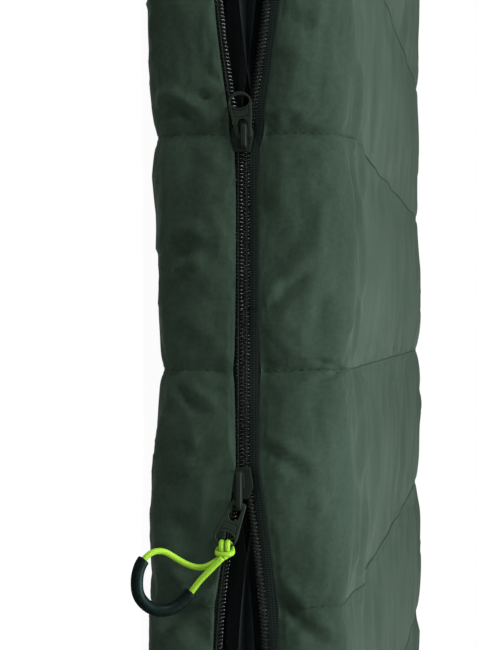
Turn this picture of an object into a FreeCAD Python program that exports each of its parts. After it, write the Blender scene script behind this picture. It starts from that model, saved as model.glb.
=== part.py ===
import FreeCAD, Part
import math
import os

# Rectangular sleeping bag with an L-shaped two-way zip, lying flat. Millimetres, +Z up.
# +X points to the head end, -Y is the zip side, and Z = 0 is the surface that it lies on.
# The top layer hinges along the far long side. Two sliders stand tail to tail on the side zip:
# the chain is closed between them, and both rows of coil part in a V beyond each one.

V = FreeCAD.Vector
X_AXIS = V(1, 0, 0)
Y_AXIS = V(0, 1, 0)
Z_AXIS = V(0, 0, 1)
DIAGONAL = math.sqrt(0.5)

SIZES = {
    # the two quilted layers
    "bag_length": 2200,
    "bag_width": 850,
    "layer_height": 46,
    "cavity_height": 12,
    "corner_radius": 60,
    "edge_radius": 21.9,
    "skin": 1.5,
    "lining_depth": 3,
    "baffle_count": 19,
    "groove_side": 13,
    "stitch_side": 1.0,
    "stitch_inset": 26,
    "rebate_depth": 6.6,
    "rebate_reach": 26,
    # far side
    "panel_gap": 0.6,
    "panel_thickness": 4,
    "panel_height": 64,
    "panel_edge": 1.9,
    # draft tube behind the zip
    "draft_width": 14,
    "draft_height": 5.4,
    "draft_inset": 17,
    "draft_edge": 2.5,
    # zip
    "zip_inset": 4,
    "coil_thickness": 2.6,
    "coil_width": 3.5,
    "coil_gap": 0.05,
    "tape_thickness": 0.7,
    "tape_start": 2.2,
    "tape_width": 10.5,
    "head_gape": 10.3,
    "head_bend": 75,
    "foot_gape": 12,
    "foot_bend": 110,
    "bend_lead": 6.85,
    "head_row_end": 1076,
    "foot_row_end": 385,
    "stop_length": 4,
    "stop_overhang": 0.3,
    "stop_gap": 0.25,
    # sliders
    "head_slider_place": 113.2,
    "foot_slider_place": -56.7,
    "slider_length": 15.7,
    "slider_tail_width": 8.4,
    "slider_width": 10.4,
    "slider_nose_width": 5,
    "slider_widest": 0,
    "slider_shoulder": 3,
    "front_plate": 1.6,
    "back_plate": 1.4,
    "channel_width": 7.4,
    "channel_slack": 0.2,
    "tape_slit": 1.1,
    "mouth_start": -0.5,
    "mouth_width": 8.6,
    "post_length": 2.4,
    "post_width": 0.4,
    "bridge_width": 2.4,
    "bridge_offset": 1.2,
    "bridge_crown": 1.4,
    "bridge_rise": 4.1,
    "bridge_leg": 1.3,
    "bridge_rear": -6.4,
    "head_bridge_front": 13.4,
    "foot_bridge_front": 5.9,
    "tongue_thickness": 1.0,
    # tabs
    "tab_thickness": 1.6,
    "tab_stand_off": 2.5,
    "tab_length": 21.8,
    "tab_bar": 0.9,
    "tab_narrow": 7.8,
    "tab_wide": 11.3,
    "tab_slot_width": 5.1,
    "tab_slot_end": 8.3,
    "tab_hole_place": 16.85,
    "tab_hole_width": 9.7,
    "tab_hole_length": 6.3,
    "tab_recess_start": 9.2,
    "tab_recess_end": 13,
    "tab_recess_depth": 0.3,
    "head_pivot": 10.0,
    "head_pivot_drop": 1.2,
    "head_tab_tilt": 22,
    "foot_pivot": -0.3,
    "foot_pivot_drop": -1.2,
    "foot_tab_tilt": 6.8,
    # pull loop
    "cord_diameter": 3.0,
    "grip_diameter": 6.1,
    "grip_bore": 3.5,
    "knot_ring": 2.7,
    "knot_ring_tube": 1.4,
    "knot_radius": 3.3,
    "knot_place": 25.4,
}

# The pull cord's centre line from the knot round through the grip and back, as (x, y, z).
CORD_ROUTE = [
    (149.6, -427.6, 41.4),
    (152.9, -427.9, 37.4),
    (154.3, -428.2, 32.2),
    (153.3, -429.6, 26.8),
    (150.4, -432.2, 21.8),
    (147.7, -435.9, 17.2),
    (148.0, -440.0, 12.6),
    (151.6, -442.6, 8.3),
    (156.6, -443.6, 4.8),
    (162.8, -443.6, 3.6),
    (168.9, -442.6, 4.6),
    (173.6, -440.8, 8.2),
    (176.1, -438.0, 13.2),
    (175.3, -435.0, 19.0),
    (171.6, -432.4, 24.2),
    (166.4, -431.2, 28.4),
    (160.8, -431.0, 32.2),
    (155.9, -431.1, 36.2),
    (152.1, -430.9, 41.2),
]
GRIP_FIRST_RUN = 6
GRIP_LAST_RUN = 14

doc = FreeCAD.newDocument("sleeping_bag")
sheet = doc.addObject("Spreadsheet::Sheet", "Sizes")
for row, (alias, value) in enumerate(SIZES.items(), start=1):
    sheet.set(f"A{row}", alias)
    sheet.set(f"B{row}", str(value))
    sheet.setAlias(f"B{row}", alias)
doc.recompute()

NODES = {}


def size(alias):
    """A driving dimension, read back from the sheet."""
    return float(getattr(sheet, alias))


def bind(obj, **formulas):
    """Bind properties to the sheet. x, y and z stand for the placement's base."""
    for name, formula in formulas.items():
        prop = f".Placement.Base.{name}" if name in ("x", "y", "z") else name
        text = formula if isinstance(formula, str) else repr(formula)
        for alias in sorted(SIZES, key=len, reverse=True):
            text = replace_word(text, alias, f"Sizes.{alias}")
        obj.setExpression(prop, text)
    return obj


def replace_word(text, word, new):
    """Swap whole words only, so that one alias inside another stays as it is."""
    out = []
    token = ""
    for letter in text + " ":
        if letter.isalnum() or letter in "_.":
            token += letter
            continue
        out.append(new if token == word else token)
        out.append(letter)
        token = ""
    return "".join(out)[:-1]


def add(kind, name, **formulas):
    return bind(doc.addObject(kind, name), **formulas)


def block(name, **formulas):
    return add("Part::Box", name, **formulas)


def cut(name, base, *tools):
    """Base less each tool in turn."""
    result = base
    for number, tool in enumerate(tools):
        step = doc.addObject("Part::Cut", name if number == len(tools) - 1 else name + "_step")
        step.Base = result
        step.Tool = tool
        result = step
    return result


def common(name, base, tool):
    result = doc.addObject("Part::Common", name)
    result.Base = base
    result.Tool = tool
    return result


def fuse(name, shapes):
    result = doc.addObject("Part::MultiFuse", name)
    result.Shapes = shapes
    return result


def node(name, obj):
    """Register an object as a sub-part under the name of its file."""
    obj.Label = name
    NODES[name] = obj
    return obj


def feature(name, shape):
    obj = doc.addObject("Part::Feature", name)
    obj.Shape = shape
    return obj


def edge_names(shape, wanted):
    return [f"Edge{i}" for i, edge in enumerate(shape.Edges, start=1) if wanted(edge)]


def is_level(edge):
    return edge.BoundBox.ZLength < 0.01


def is_long_and_low(edge):
    return edge.BoundBox.XLength > 1000 and edge.BoundBox.ZMax < 0.01


def rounded_body(name, length, width, height, corner, edge, rounded=is_level, **place):
    """A PartDesign block with rounded corners in plan and rounded edges above and below."""
    body = doc.addObject("PartDesign::Body", name)
    box = body.newObject("PartDesign::AdditiveBox", name + "_block")
    bind(box, Length=length, Width=width, Height=height)
    doc.recompute()
    tip = box
    if corner:
        corners = body.newObject("PartDesign::Fillet", name + "_corners")
        upright = edge_names(box.Shape, lambda e: abs(e.tangentAt(e.FirstParameter).z) > 0.99)
        corners.Base = (box, upright)
        bind(corners, Radius=corner)
        doc.recompute()
        tip = corners
    if edge:
        edges = body.newObject("PartDesign::Fillet", name + "_edges")
        edges.Base = (tip, edge_names(tip.Shape, rounded))
        bind(edges, Radius=edge)
        doc.recompute()
        tip = edges
    body.Tip = tip
    bind(body, **place)
    return body


# ---- quilted layers

ZIP_LEVEL = "(layer_height + cavity_height / 2)"
GROOVE_DEPTH = f"({DIAGONAL} * groove_side)"
STITCH_REACH = f"({DIAGONAL} * stitch_side)"
TOP_BASE = "(layer_height + cavity_height)"
TOP_FACE = "(2 * layer_height + cavity_height)"


def groove_bars(name, side, face, along):
    """One square bar on its corner for each seam, along the width, centred on a layer's face."""
    bars = []
    for number in range(1, int(size("baffle_count"))):
        bar = block(
            f"{name}_{number}",
            Length=side,
            Width=f"bag_width - 2 * {along}",
            Height=side,
            x=f"-bag_length / 2 + {number} * bag_length / baffle_count - {DIAGONAL} * ({side})",
            y=f"-bag_width / 2 + {along}",
            z=face,
        )
        bar.Placement = FreeCAD.Placement(bar.Placement.Base, FreeCAD.Rotation(Y_AXIS, 45))
        bars.append(bar)
    group = doc.addObject("Part::Compound", name)
    group.Links = bars
    return group


def zip_rebate(name, offset):
    """The space round the zip side and the foot end that the tapes lie in."""
    slab = block(
        name + "_slab",
        Length="bag_length + 200",
        Width="bag_width + 200",
        Height=f"2 * rebate_reach + 2 * ({offset})",
        x="-bag_length / 2 - 100",
        y="-bag_width / 2 - 100",
        z=f"{ZIP_LEVEL} - rebate_reach - ({offset})",
    )
    core = rounded_body(
        name + "_core",
        "bag_length + 200",
        "bag_width + 200",
        "3 * rebate_reach",
        f"corner_radius - rebate_depth - ({offset})",
        None,
        x=f"-bag_length / 2 + rebate_depth + ({offset})",
        y=f"-bag_width / 2 + rebate_depth + ({offset})",
        z=f"{ZIP_LEVEL} - 1.5 * rebate_reach",
    )
    return cut(name, slab, core)


def layer_block(name, base, inset):
    return rounded_body(
        name,
        f"bag_length - 2 * ({inset})",
        f"bag_width - 2 * ({inset})",
        f"layer_height - 2 * ({inset})",
        f"corner_radius - ({inset})",
        f"edge_radius - ({inset})",
        x=f"-bag_length / 2 + {inset}",
        y=f"-bag_width / 2 + {inset}",
        z=f"{base} + {inset}",
    )


def half_space(name, low, high):
    """Everything of a layer between two levels."""
    return block(
        name,
        Length="bag_length + 20",
        Width="bag_width + 20",
        Height=f"{high} - ({low})",
        x="-bag_length / 2 - 10",
        y="-bag_width / 2 - 10",
        z=low,
    )


def quilt_layer(name, base, outer_face, lining_low, lining_high, stitch_level):
    """Shell, filling, lining and stitching of one layer. base is the level of its underside."""
    top = f"{base} + layer_height"
    bars = groove_bars(name + "_grooves", "groove_side", outer_face, "0")
    inner_bars = groove_bars(name + "_inner_grooves", "groove_side + 2 * skin", outer_face, "0")
    outer = cut(name + "_outer", layer_block(name + "_whole", base, "0"), bars, REBATES[0])
    filling = cut(name + "_filling", layer_block(name + "_core", base, "skin"), inner_bars, REBATES[1])
    skin = cut(name + "_skin", outer, filling)
    if lining_low == base:
        shell_zone = half_space(name + "_shell_zone", lining_high, f"{top} + 1")
        lining_zone = half_space(name + "_lining_zone", f"{base} - 1", lining_high)
    else:
        shell_zone = half_space(name + "_shell_zone", f"{base} - 1", lining_low)
        lining_zone = half_space(name + "_lining_zone", lining_low, f"{top} + 1")
    node(name + "_shell", common(name + "_shell", skin, shell_zone))
    node(name + "_lining", common(name + "_lining", skin, lining_zone))
    node(name + "_filling", filling)
    stitches = groove_bars(name + "_stitching", "stitch_side", stitch_level, "stitch_inset")
    node(name + "_stitching", stitches)


REBATES = [zip_rebate("zip_rebate", "0"), zip_rebate("zip_rebate_inner", "skin")]

quilt_layer(
    "bottom",
    "0",
    "0",
    "(layer_height - lining_depth)",
    "layer_height",
    f"{GROOVE_DEPTH} - {STITCH_REACH}",
)
quilt_layer(
    "top",
    TOP_BASE,
    TOP_FACE,
    TOP_BASE,
    f"({TOP_BASE} + lining_depth)",
    f"{TOP_FACE} - {GROOVE_DEPTH} + {STITCH_REACH}",
)

# ---- far side panel, the strip of shell that the top layer folds on

node(
    "far_side_panel",
    rounded_body(
        "far_side_panel",
        "bag_length - 2 * corner_radius",
        "panel_thickness",
        "panel_height",
        None,
        "panel_edge",
        x="-bag_length / 2 + corner_radius",
        y="bag_width / 2 + panel_gap",
        z=f"{ZIP_LEVEL} - panel_height / 2",
    ),
)

# ---- draft tube, sewn under the top lining behind the zip

node(
    "draft_tube",
    rounded_body(
        "draft_tube",
        "bag_length - 2 * corner_radius",
        "draft_width",
        "draft_height",
        None,
        "draft_edge",
        is_long_and_low,
        x="-bag_length / 2 + corner_radius",
        y="-bag_width / 2 + draft_inset",
        z=f"{TOP_BASE} - draft_height",
    ),
)

# ---- zip rows

ZIP_Z = size("layer_height") + size("cavity_height") / 2
ZIP_Y = -size("bag_width") / 2 + size("zip_inset")
COIL_FRONT = ZIP_Y - size("coil_thickness") / 2
COIL_BACK = ZIP_Y + size("coil_thickness") / 2
TAPE_BACK = COIL_BACK + size("tape_thickness")
ROW_MIDDLE = (size("head_slider_place") + size("foot_slider_place")) / 2
CORNER = V(
    -size("bag_length") / 2 + size("corner_radius"),
    -size("bag_width") / 2 + size("corner_radius"),
    0,
)


def bend_edges(start, end_x, direction, bend, gape, level):
    """A row's edge in the zip plane: straight, two tangent arcs that part it by gape, straight."""
    radius = (bend * bend + gape * gape) / (4 * abs(gape))
    rise = math.copysign(1, gape)
    turn = math.asin(bend / (2 * radius))
    half = turn / 2

    def point(x, z):
        return V(x, 0, level + z)

    def first_arc(angle):
        return point(
            start + direction * radius * math.sin(angle), rise * radius * (1 - math.cos(angle))
        )

    def second_arc(angle):
        return point(
            start + direction * (bend - radius * math.sin(angle)),
            gape - rise * radius * (1 - math.cos(angle)),
        )

    return [
        Part.LineSegment(point(ROW_MIDDLE, 0), point(start, 0)).toShape(),
        Part.Arc(first_arc(0), first_arc(half), first_arc(turn)).toShape(),
        Part.Arc(second_arc(turn), second_arc(half), second_arc(0)).toShape(),
        Part.LineSegment(point(start + direction * bend, gape), point(end_x, gape)).toShape(),
    ]


def side_strip(direction, bend, gape, end_x, near, far, front, back):
    """A strip of the side zip between two heights from the zip line, with its V."""
    place = size("head_slider_place") if direction > 0 else size("foot_slider_place")
    start = place - direction * size("bend_lead")
    near_edges = bend_edges(start, end_x, direction, bend, gape, ZIP_Z + near)
    far_edges = bend_edges(start, end_x, direction, bend, gape, ZIP_Z + far)
    begin = Part.LineSegment(V(ROW_MIDDLE, 0, ZIP_Z + near), V(ROW_MIDDLE, 0, ZIP_Z + far))
    finish = Part.LineSegment(V(end_x, 0, ZIP_Z + gape + near), V(end_x, 0, ZIP_Z + gape + far))
    outline = Part.Wire(Part.__sortEdges__(near_edges + far_edges + [begin.toShape(), finish.toShape()]))
    outline.translate(V(0, front, 0))
    return Part.Face(outline).extrude(V(0, back - front, 0))


def foot_strip(gape, near, far, front, back):
    """The rest of a foot row: round the corner in plan, then along the foot end."""
    low = ZIP_Z + gape + min(near, far)
    height = abs(far - near)
    section = Part.Face(
        Part.makePolygon(
            [
                V(CORNER.x, front, low),
                V(CORNER.x, back, low),
                V(CORNER.x, back, low + height),
                V(CORNER.x, front, low + height),
                V(CORNER.x, front, low),
            ]
        )
    )
    corner = section.revolve(CORNER, Z_AXIS, -90)
    foot_front = CORNER.x - (CORNER.y - front)
    along = Part.makeBox(
        back - front, size("foot_row_end") - CORNER.y, height, V(foot_front, CORNER.y, low)
    )
    return corner.fuse(along)


def zip_row(name, direction, side):
    """One row of a V: its tape, its coil and its end stop. side is 1 above, -1 below."""
    end = "head" if direction > 0 else "foot"
    gape = side * size(end + "_gape")
    bend = size(end + "_bend")
    end_x = size("head_row_end") if direction > 0 else CORNER.x
    tape = (
        side * size("tape_start"),
        side * (size("tape_start") + size("tape_width")),
        COIL_BACK,
        TAPE_BACK,
    )
    coil = (side * size("coil_gap"), side * size("coil_width"), COIL_FRONT, COIL_BACK)
    for part, span in (("tape", tape), ("coil", coil)):
        shape = side_strip(direction, bend, gape, end_x, *span)
        if direction < 0:
            shape = shape.fuse(foot_strip(gape, *span)).removeSplitter()
        node(f"{name}_{part}", feature(f"{name}_{part}", shape))
    over = size("stop_overhang")
    near = side * size("stop_gap")
    far = side * (size("coil_width") + over)
    low = ZIP_Z + gape + min(near, far)
    deep = COIL_BACK - COIL_FRONT + over
    tall = abs(far - near)
    stop = doc.addObject("Part::Box", f"{name}_stop")
    if direction > 0:
        bind(stop, Length="stop_length", Width=f"{deep}", Height=f"{tall}")
        bind(stop, x="head_row_end", y=f"{COIL_FRONT - over}", z=f"{low}")
    else:
        foot_front = CORNER.x - (CORNER.y - COIL_FRONT)
        bind(stop, Length=f"{deep}", Width="stop_length", Height=f"{tall}")
        bind(stop, x=f"{foot_front - over}", y="foot_row_end", z=f"{low}")
    node(f"{name}_stop", stop)


zip_row("upper_head", 1, 1)
zip_row("lower_head", 1, -1)
zip_row("upper_foot", -1, 1)
zip_row("lower_foot", -1, -1)

# ---- sliders, each drawn with its nose along +X about the middle of its channel


def slider(name, place, turn, bridge_front):
    """A slider body: two shield plates, side flanges, the post between the rows and the bridge."""
    half = size("slider_length") / 2
    tail = size("slider_tail_width") / 2
    wide = size("slider_width") / 2
    nose = size("slider_nose_width") / 2
    widest = size("slider_widest")
    shoulder = size("slider_shoulder")
    corners = [(-half, tail), (widest, wide), (shoulder, wide), (half, nose)]
    outline = corners + [(x, -z) for x, z in reversed(corners)]
    coil_half = size("coil_thickness") / 2 + size("channel_slack")
    front = -coil_half - size("front_plate")
    slit_back = coil_half + size("tape_thickness")
    back = slit_back + size("back_plate")
    shield = feature(
        name + "_shield",
        Part.Face(Part.makePolygon([V(x, front, z) for x, z in outline + outline[:1]])).extrude(
            V(0, back - front, 0)
        ),
    )
    channel = block(
        name + "_channel",
        Length="2 * slider_length",
        Width=f"{slit_back + coil_half}",
        Height="channel_width",
        x="-slider_length",
        y=f"{-coil_half}",
        z="-channel_width / 2",
    )
    mouth = block(
        name + "_mouth",
        Length="slider_length",
        Width=f"{slit_back + coil_half}",
        Height="mouth_width",
        x="mouth_start",
        y=f"{-coil_half}",
        z="-mouth_width / 2",
    )
    slit = block(
        name + "_slit",
        Length="2 * slider_length",
        Width="tape_slit",
        Height="3 * channel_width",
        x="-slider_length",
        y=f"{slit_back} - tape_slit",
        z="-1.5 * channel_width",
    )
    post = block(
        name + "_post",
        Length="post_length",
        Width=f"{slit_back + coil_half}",
        Height="post_width",
        x="slider_length / 2 - post_length",
        y=f"{-coil_half}",
        z="-post_width / 2",
    )
    crown = block(
        name + "_crown",
        Length=f"{bridge_front} - bridge_rear",
        Width="bridge_crown",
        Height="bridge_width",
        x="bridge_rear",
        y=f"{front} - bridge_rise - bridge_crown",
        z="-bridge_offset - bridge_width / 2",
    )
    legs = [
        block(
            f"{name}_{end}_leg",
            Length="bridge_leg",
            Width="bridge_rise + tongue_thickness",
            Height="bridge_width",
            x=start,
            y=f"{front} - bridge_rise",
            z="-bridge_offset - bridge_width / 2",
        )
        for end, start in (("rear", "bridge_rear"), ("front", f"{bridge_front} - bridge_leg"))
    ]
    tongue = block(
        name + "_tongue",
        Length=f"{bridge_front}",
        Width="tongue_thickness",
        Height="bridge_width",
        x="0",
        y=f"{front}",
        z="-bridge_offset - bridge_width / 2",
    )
    plates = cut(name + "_plates", shield, channel, mouth, slit)
    body = fuse(name, [plates, post, crown, tongue] + legs)
    bind(body, x=place, y=f"{ZIP_Y}", z=f"{ZIP_Z}")
    body.Placement.Rotation = FreeCAD.Rotation(Y_AXIS, turn)
    return node(name, body)


slider("head_slider", "head_slider_place", 0, "head_bridge_front")
slider("foot_slider", "foot_slider_place", 180, "foot_bridge_front")

# ---- pull tabs, each drawn from its cross bar along +X


def tab(name, place_x, place_z, turn):
    """A tapered tab: cross bar, slot for the bridge, shallow recess and oval hole."""
    half_thick = "tab_thickness / 2"
    plate = add(
        "Part::Wedge",
        name + "_plate",
        Xmin="-tab_bar",
        Xmax="tab_length - tab_wide / 2",
        Ymin=f"-{half_thick}",
        Ymax=half_thick,
        Zmin="-tab_wide / 2",
        Zmax="tab_wide / 2",
        X2min="-tab_bar",
        X2max="tab_length - tab_wide / 2",
        Z2min="-tab_wide / 2",
        Z2max="tab_wide / 2",
    )
    end = add(
        "Part::Cylinder",
        name + "_end",
        Radius="tab_wide / 2",
        Height="tab_thickness",
        x="tab_length - tab_wide / 2",
        y=half_thick,
    )
    end.Placement.Rotation = FreeCAD.Rotation(X_AXIS, 90)
    slope = (size("tab_wide") - size("tab_narrow")) / 2
    run = size("tab_length") - size("tab_wide") / 2 + size("tab_bar")
    shaves = []
    for side in (1, -1):
        corner = V(-size("tab_bar") - 1, -5, side * (size("tab_narrow") / 2 - slope / run))
        far = V(run - size("tab_bar"), -5, side * size("tab_wide") / 2)
        above = V(-size("tab_bar") - 1, -5, side * size("tab_wide"))
        wedge = Part.Face(Part.makePolygon([corner, far, above, corner])).extrude(V(0, 10, 0))
        shaves.append(feature(f"{name}_shave_{'upper' if side > 0 else 'lower'}", wedge))
    slot = block(
        name + "_slot",
        Length="tab_slot_end - tab_slot_width / 2 - tab_bar",
        Width="3 * tab_thickness",
        Height="tab_slot_width",
        x="tab_bar",
        y="-1.5 * tab_thickness",
        z="-tab_slot_width / 2",
    )
    arch = add(
        "Part::Cylinder",
        name + "_slot_arch",
        Radius="tab_slot_width / 2",
        Height="3 * tab_thickness",
        x="tab_slot_end - tab_slot_width / 2",
        y="1.5 * tab_thickness",
    )
    arch.Placement.Rotation = FreeCAD.Rotation(X_AXIS, 90)
    oval = add(
        "Part::Ellipse",
        name + "_oval",
        MajorRadius="tab_hole_width / 2",
        MinorRadius="tab_hole_length / 2",
        x="tab_hole_place",
        y="1.5 * tab_thickness",
    )
    oval.Placement.Rotation = FreeCAD.Rotation(V(1, 0, 0), V(0, 0, 1), V(0, -1, 0), "ZXY")
    hole = doc.addObject("Part::Extrusion", name + "_hole")
    hole.Base = oval
    hole.Dir = V(0, -1, 0)
    hole.Solid = True
    bind(hole, LengthFwd="3 * tab_thickness")
    recess = block(
        name + "_recess",
        Length="tab_recess_end - tab_recess_start",
        Width="tab_recess_depth",
        Height="tab_slot_width + 1",
        x="tab_recess_start",
        y="-tab_thickness / 2",
        z="-(tab_slot_width + 1) / 2",
    )
    blank = fuse(name + "_blank", [plate, end])
    body = cut(name, blank, *shaves, slot, arch, hole, recess)
    front = ZIP_Y - size("coil_thickness") / 2 - size("channel_slack") - size("front_plate")
    bind(body, x=place_x, y=f"{front} - tab_stand_off", z=f"{ZIP_Z} - ({place_z})")
    body.Placement.Rotation = FreeCAD.Rotation(Y_AXIS, turn)
    return node(name, body)


tab("head_tab", "head_slider_place + head_pivot", "head_pivot_drop", size("head_tab_tilt"))
tab("foot_tab", "foot_slider_place - foot_pivot", "foot_pivot_drop", 180 - size("foot_tab_tilt"))

# ---- pull loop: knot on the head tab's rim, cord and grip


def rounded_route(points):
    """Straight runs joined by tangent arcs as large as their runs allow, as a list of edges."""
    points = [V(*p) for p in points]
    edges = []
    start = points[0]
    for before, here, after in zip(points, points[1:], points[2:]):
        back = (before - here).normalize()
        ahead = (after - here).normalize()
        half_turn = (math.pi - back.getAngle(ahead)) / 2
        reach = 0.45 * min(here.distanceToPoint(before), here.distanceToPoint(after))
        radius = reach / math.tan(half_turn)
        middle = (back + ahead).normalize()
        arc_in = here + back * reach
        arc_out = here + ahead * reach
        arc_mid = here + middle * (radius / math.cos(half_turn) - radius)
        edges.append(Part.LineSegment(start, arc_in).toShape())
        edges.append(Part.Arc(arc_in, arc_mid, arc_out).toShape())
        start = arc_out
        print(f"route turn {math.degrees(2 * half_turn):5.1f} deg radius {radius:6.1f} mm")
    edges.append(Part.LineSegment(start, points[-1]).toShape())
    return edges


def tube(edges, radius):
    """A round solid along a chain of edges."""
    first = edges[0]
    ring = Part.makeCircle(radius, first.valueAt(first.FirstParameter), first.tangentAt(first.FirstParameter))
    solid = Part.Wire(edges).makePipeShell([Part.Wire([ring])], True, False)
    length = sum(e.Length for e in edges)
    print(f"tube length {length:.1f} mm, volume ratio {solid.Volume / (math.pi * radius**2 * length):.4f}")
    return solid


route = rounded_route(CORD_ROUTE)
grip_route = route[2 * GRIP_FIRST_RUN : 2 * GRIP_LAST_RUN + 1]
node("pull_cord", feature("pull_cord", tube(route, size("cord_diameter") / 2)))
grip = tube(grip_route, size("grip_diameter") / 2).cut(tube(grip_route, size("grip_bore") / 2))
node("grip_tube", feature("grip_tube", grip))

tilt = math.radians(size("head_tab_tilt"))
pivot = NODES["head_tab"]
doc.recompute()
pivot_at = pivot.Placement.Base
tab_way = V(math.cos(tilt), 0, -math.sin(tilt))
rim = size("tab_length") - (size("tab_length") - size("tab_hole_place") - size("tab_hole_length") / 2) / 2
ring_turn = FreeCAD.Rotation(Y_AXIS, size("head_tab_tilt"))
knot_ring = add("Part::Torus", "knot_ring", Radius1="knot_ring", Radius2="knot_ring_tube")
knot_ring.Placement = FreeCAD.Placement(pivot_at + tab_way * rim, ring_turn)
knot_ball = add("Part::Sphere", "knot_ball", Radius="knot_radius")
knot_ball.Placement = FreeCAD.Placement(pivot_at + tab_way * size("knot_place"), FreeCAD.Rotation())
knot = cut("cord_knot", fuse("knot_whole", [knot_ring, knot_ball]), NODES["pull_cord"])
node("cord_knot", knot)

# ---- check, then write

doc.recompute()
problems = []
for obj in doc.Objects:
    if "Invalid" in obj.State or "Error" in obj.State:
        problems.append(f"{obj.Name}: {obj.State}")
for name, obj in NODES.items():
    shape = obj.Shape
    if shape.isNull() or not shape.isValid() or shape.Volume <= 0:
        problems.append(f"{name}: null, invalid or empty shape")
if problems:
    raise RuntimeError("; ".join(problems))

os.makedirs("parts", exist_ok=True)
for name, obj in NODES.items():
    obj.Shape.exportStep(f"parts/{name}.step")
    box = obj.Shape.BoundBox
    print(
        f"{name}: {len(obj.Shape.Solids)} solids, {obj.Shape.Volume / 1000:.2f} cm3,"
        f" x {box.XMin:.1f}..{box.XMax:.1f} y {box.YMin:.1f}..{box.YMax:.1f}"
        f" z {box.ZMin:.1f}..{box.ZMax:.1f}"
    )
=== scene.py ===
import math

import bpy
import numpy as np
from mathutils import Vector, Matrix, noise


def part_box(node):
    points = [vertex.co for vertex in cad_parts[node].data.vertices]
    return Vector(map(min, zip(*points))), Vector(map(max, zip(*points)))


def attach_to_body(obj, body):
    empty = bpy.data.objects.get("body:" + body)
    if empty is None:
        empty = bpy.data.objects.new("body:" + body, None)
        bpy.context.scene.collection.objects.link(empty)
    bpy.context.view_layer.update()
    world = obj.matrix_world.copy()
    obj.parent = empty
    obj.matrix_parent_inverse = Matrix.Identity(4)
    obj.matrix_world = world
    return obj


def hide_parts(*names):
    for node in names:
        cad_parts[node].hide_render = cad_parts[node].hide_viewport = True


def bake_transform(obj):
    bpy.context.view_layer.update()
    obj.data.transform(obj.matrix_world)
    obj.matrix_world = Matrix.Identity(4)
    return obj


# Rectangular sleeping bag, zip side to the camera. The frame is in metres: +X is the head end,
# -Y the zip side, +Z up. Heights and depths near the zip are given in millimetres from the
# closed chain's middle line, because that is where the detail is.

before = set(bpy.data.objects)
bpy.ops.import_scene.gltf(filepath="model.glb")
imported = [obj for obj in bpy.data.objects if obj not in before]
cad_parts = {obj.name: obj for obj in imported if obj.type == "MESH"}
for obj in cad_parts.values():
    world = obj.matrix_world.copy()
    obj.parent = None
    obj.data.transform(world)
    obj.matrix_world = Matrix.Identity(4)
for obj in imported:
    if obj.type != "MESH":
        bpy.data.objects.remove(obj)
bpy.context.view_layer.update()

MM = 0.001

# ---- places read from the frame

shell_low, shell_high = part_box("bottom_shell")
top_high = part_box("top_shell")[1]
lining_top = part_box("bottom_lining")[1].z
top_lining_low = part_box("top_lining")[0].z
coil_low, coil_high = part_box("upper_head_coil")
foot_coil_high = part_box("upper_foot_coil")[1]

ZIP_Z = (lining_top + top_lining_low) / 2
ZIP_Y = (coil_low.y + coil_high.y) / 2
ZIP_INSET = ZIP_Y - shell_low.y
HALF_X = shell_high.x - ZIP_INSET
HALF_Y = -ZIP_Y
CORNER = 0.056
FACE_INSET = 0.024
TOP_FACE = top_high.z
ROW_MIDDLE = coil_low.x
ROW_END = coil_high.x
FOOT_ROW_END = foot_coil_high.y
COIL_WIDTH = 0.0035
SLIDER_HALF = 0.00785
HEAD_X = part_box("head_slider")[0].x + SLIDER_HALF
FOOT_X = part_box("foot_slider")[1].x - SLIDER_HALF
HEAD_GAPE = coil_high.z - ZIP_Z - COIL_WIDTH
FOOT_GAPE = foot_coil_high.z - ZIP_Z - COIL_WIDTH
BEND_LEAD = 0.00685
LOWER_SAG = 1.1
HEAD_BEND = 0.110
FOOT_BEND = 0.110
HEAD_BEND_X = HEAD_X - BEND_LEAD
FOOT_BEND_X = FOOT_X + BEND_LEAD
BAFFLES = 19
BAFFLE = (shell_high.x - shell_low.x) / BAFFLES
SEAMS = [shell_low.x + BAFFLE * k for k in range(1, BAFFLES)]
VIEW_LOW, VIEW_HIGH = -0.135, 0.205
RIM_RISE = 0.07

# The cloth run: its length in frames, the pressure, the cloth's spare length, the share of each
# channel's average swelling that is taken out again, and the farthest that a point may move.
SIM_FRAMES = 16
SIM_PRESSURE = 3.0
SIM_SLACK = 0.07
SWELL_REMOVED = 0.9
SIM_CAP = 0.007


def smooth(t):
    t = np.clip(t, 0, 1)
    return t * t * (3 - 2 * t)


def ease(t):
    """A quick start and a gentle end, from 0 to 1."""
    return np.sin(math.pi / 2 * np.clip(t, 0, 1))


def side_parting(x, side):
    """How far one row of the side zip stands from its closed place. The lower head row sags further."""
    x = np.asarray(x, float)
    sag = 1.0 if side > 0 else LOWER_SAG
    head = HEAD_GAPE * sag * ease((x - HEAD_BEND_X) / HEAD_BEND)
    foot = FOOT_GAPE * ease((FOOT_BEND_X - x) / FOOT_BEND)
    return head + foot


def parting(x, y, side):
    """The same, right round the bag: it fades at the head corner and at the end of the foot rows."""
    g = side_parting(x, side)
    past_head = smooth((x - (HALF_X - CORNER)) / CORNER)
    past_foot = smooth((y - (FOOT_ROW_END - 0.03)) / 0.05)
    far = np.where(y > HALF_Y - 0.01, 1.0, past_foot)
    along_foot = x < -HALF_X + CORNER
    away = np.where(along_foot, far, np.where(y > -HALF_Y + CORNER, 1.0, past_head))
    return g * (1 - away)


def dent(d, width):
    """1 on a line, falling to 0 on both sides of it."""
    return np.exp(-((d / width) ** 2))


# ---- mesh helpers


def link(name, data):
    """A new object of the scene, made of the given mesh, curve, light or camera."""
    obj = bpy.data.objects.new(name, data)
    bpy.context.collection.objects.link(obj)
    return obj


def select(objects):
    bpy.ops.object.select_all(action="DESELECT")
    for obj in objects:
        obj.select_set(True)
    bpy.context.view_layer.objects.active = objects[0]


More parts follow.
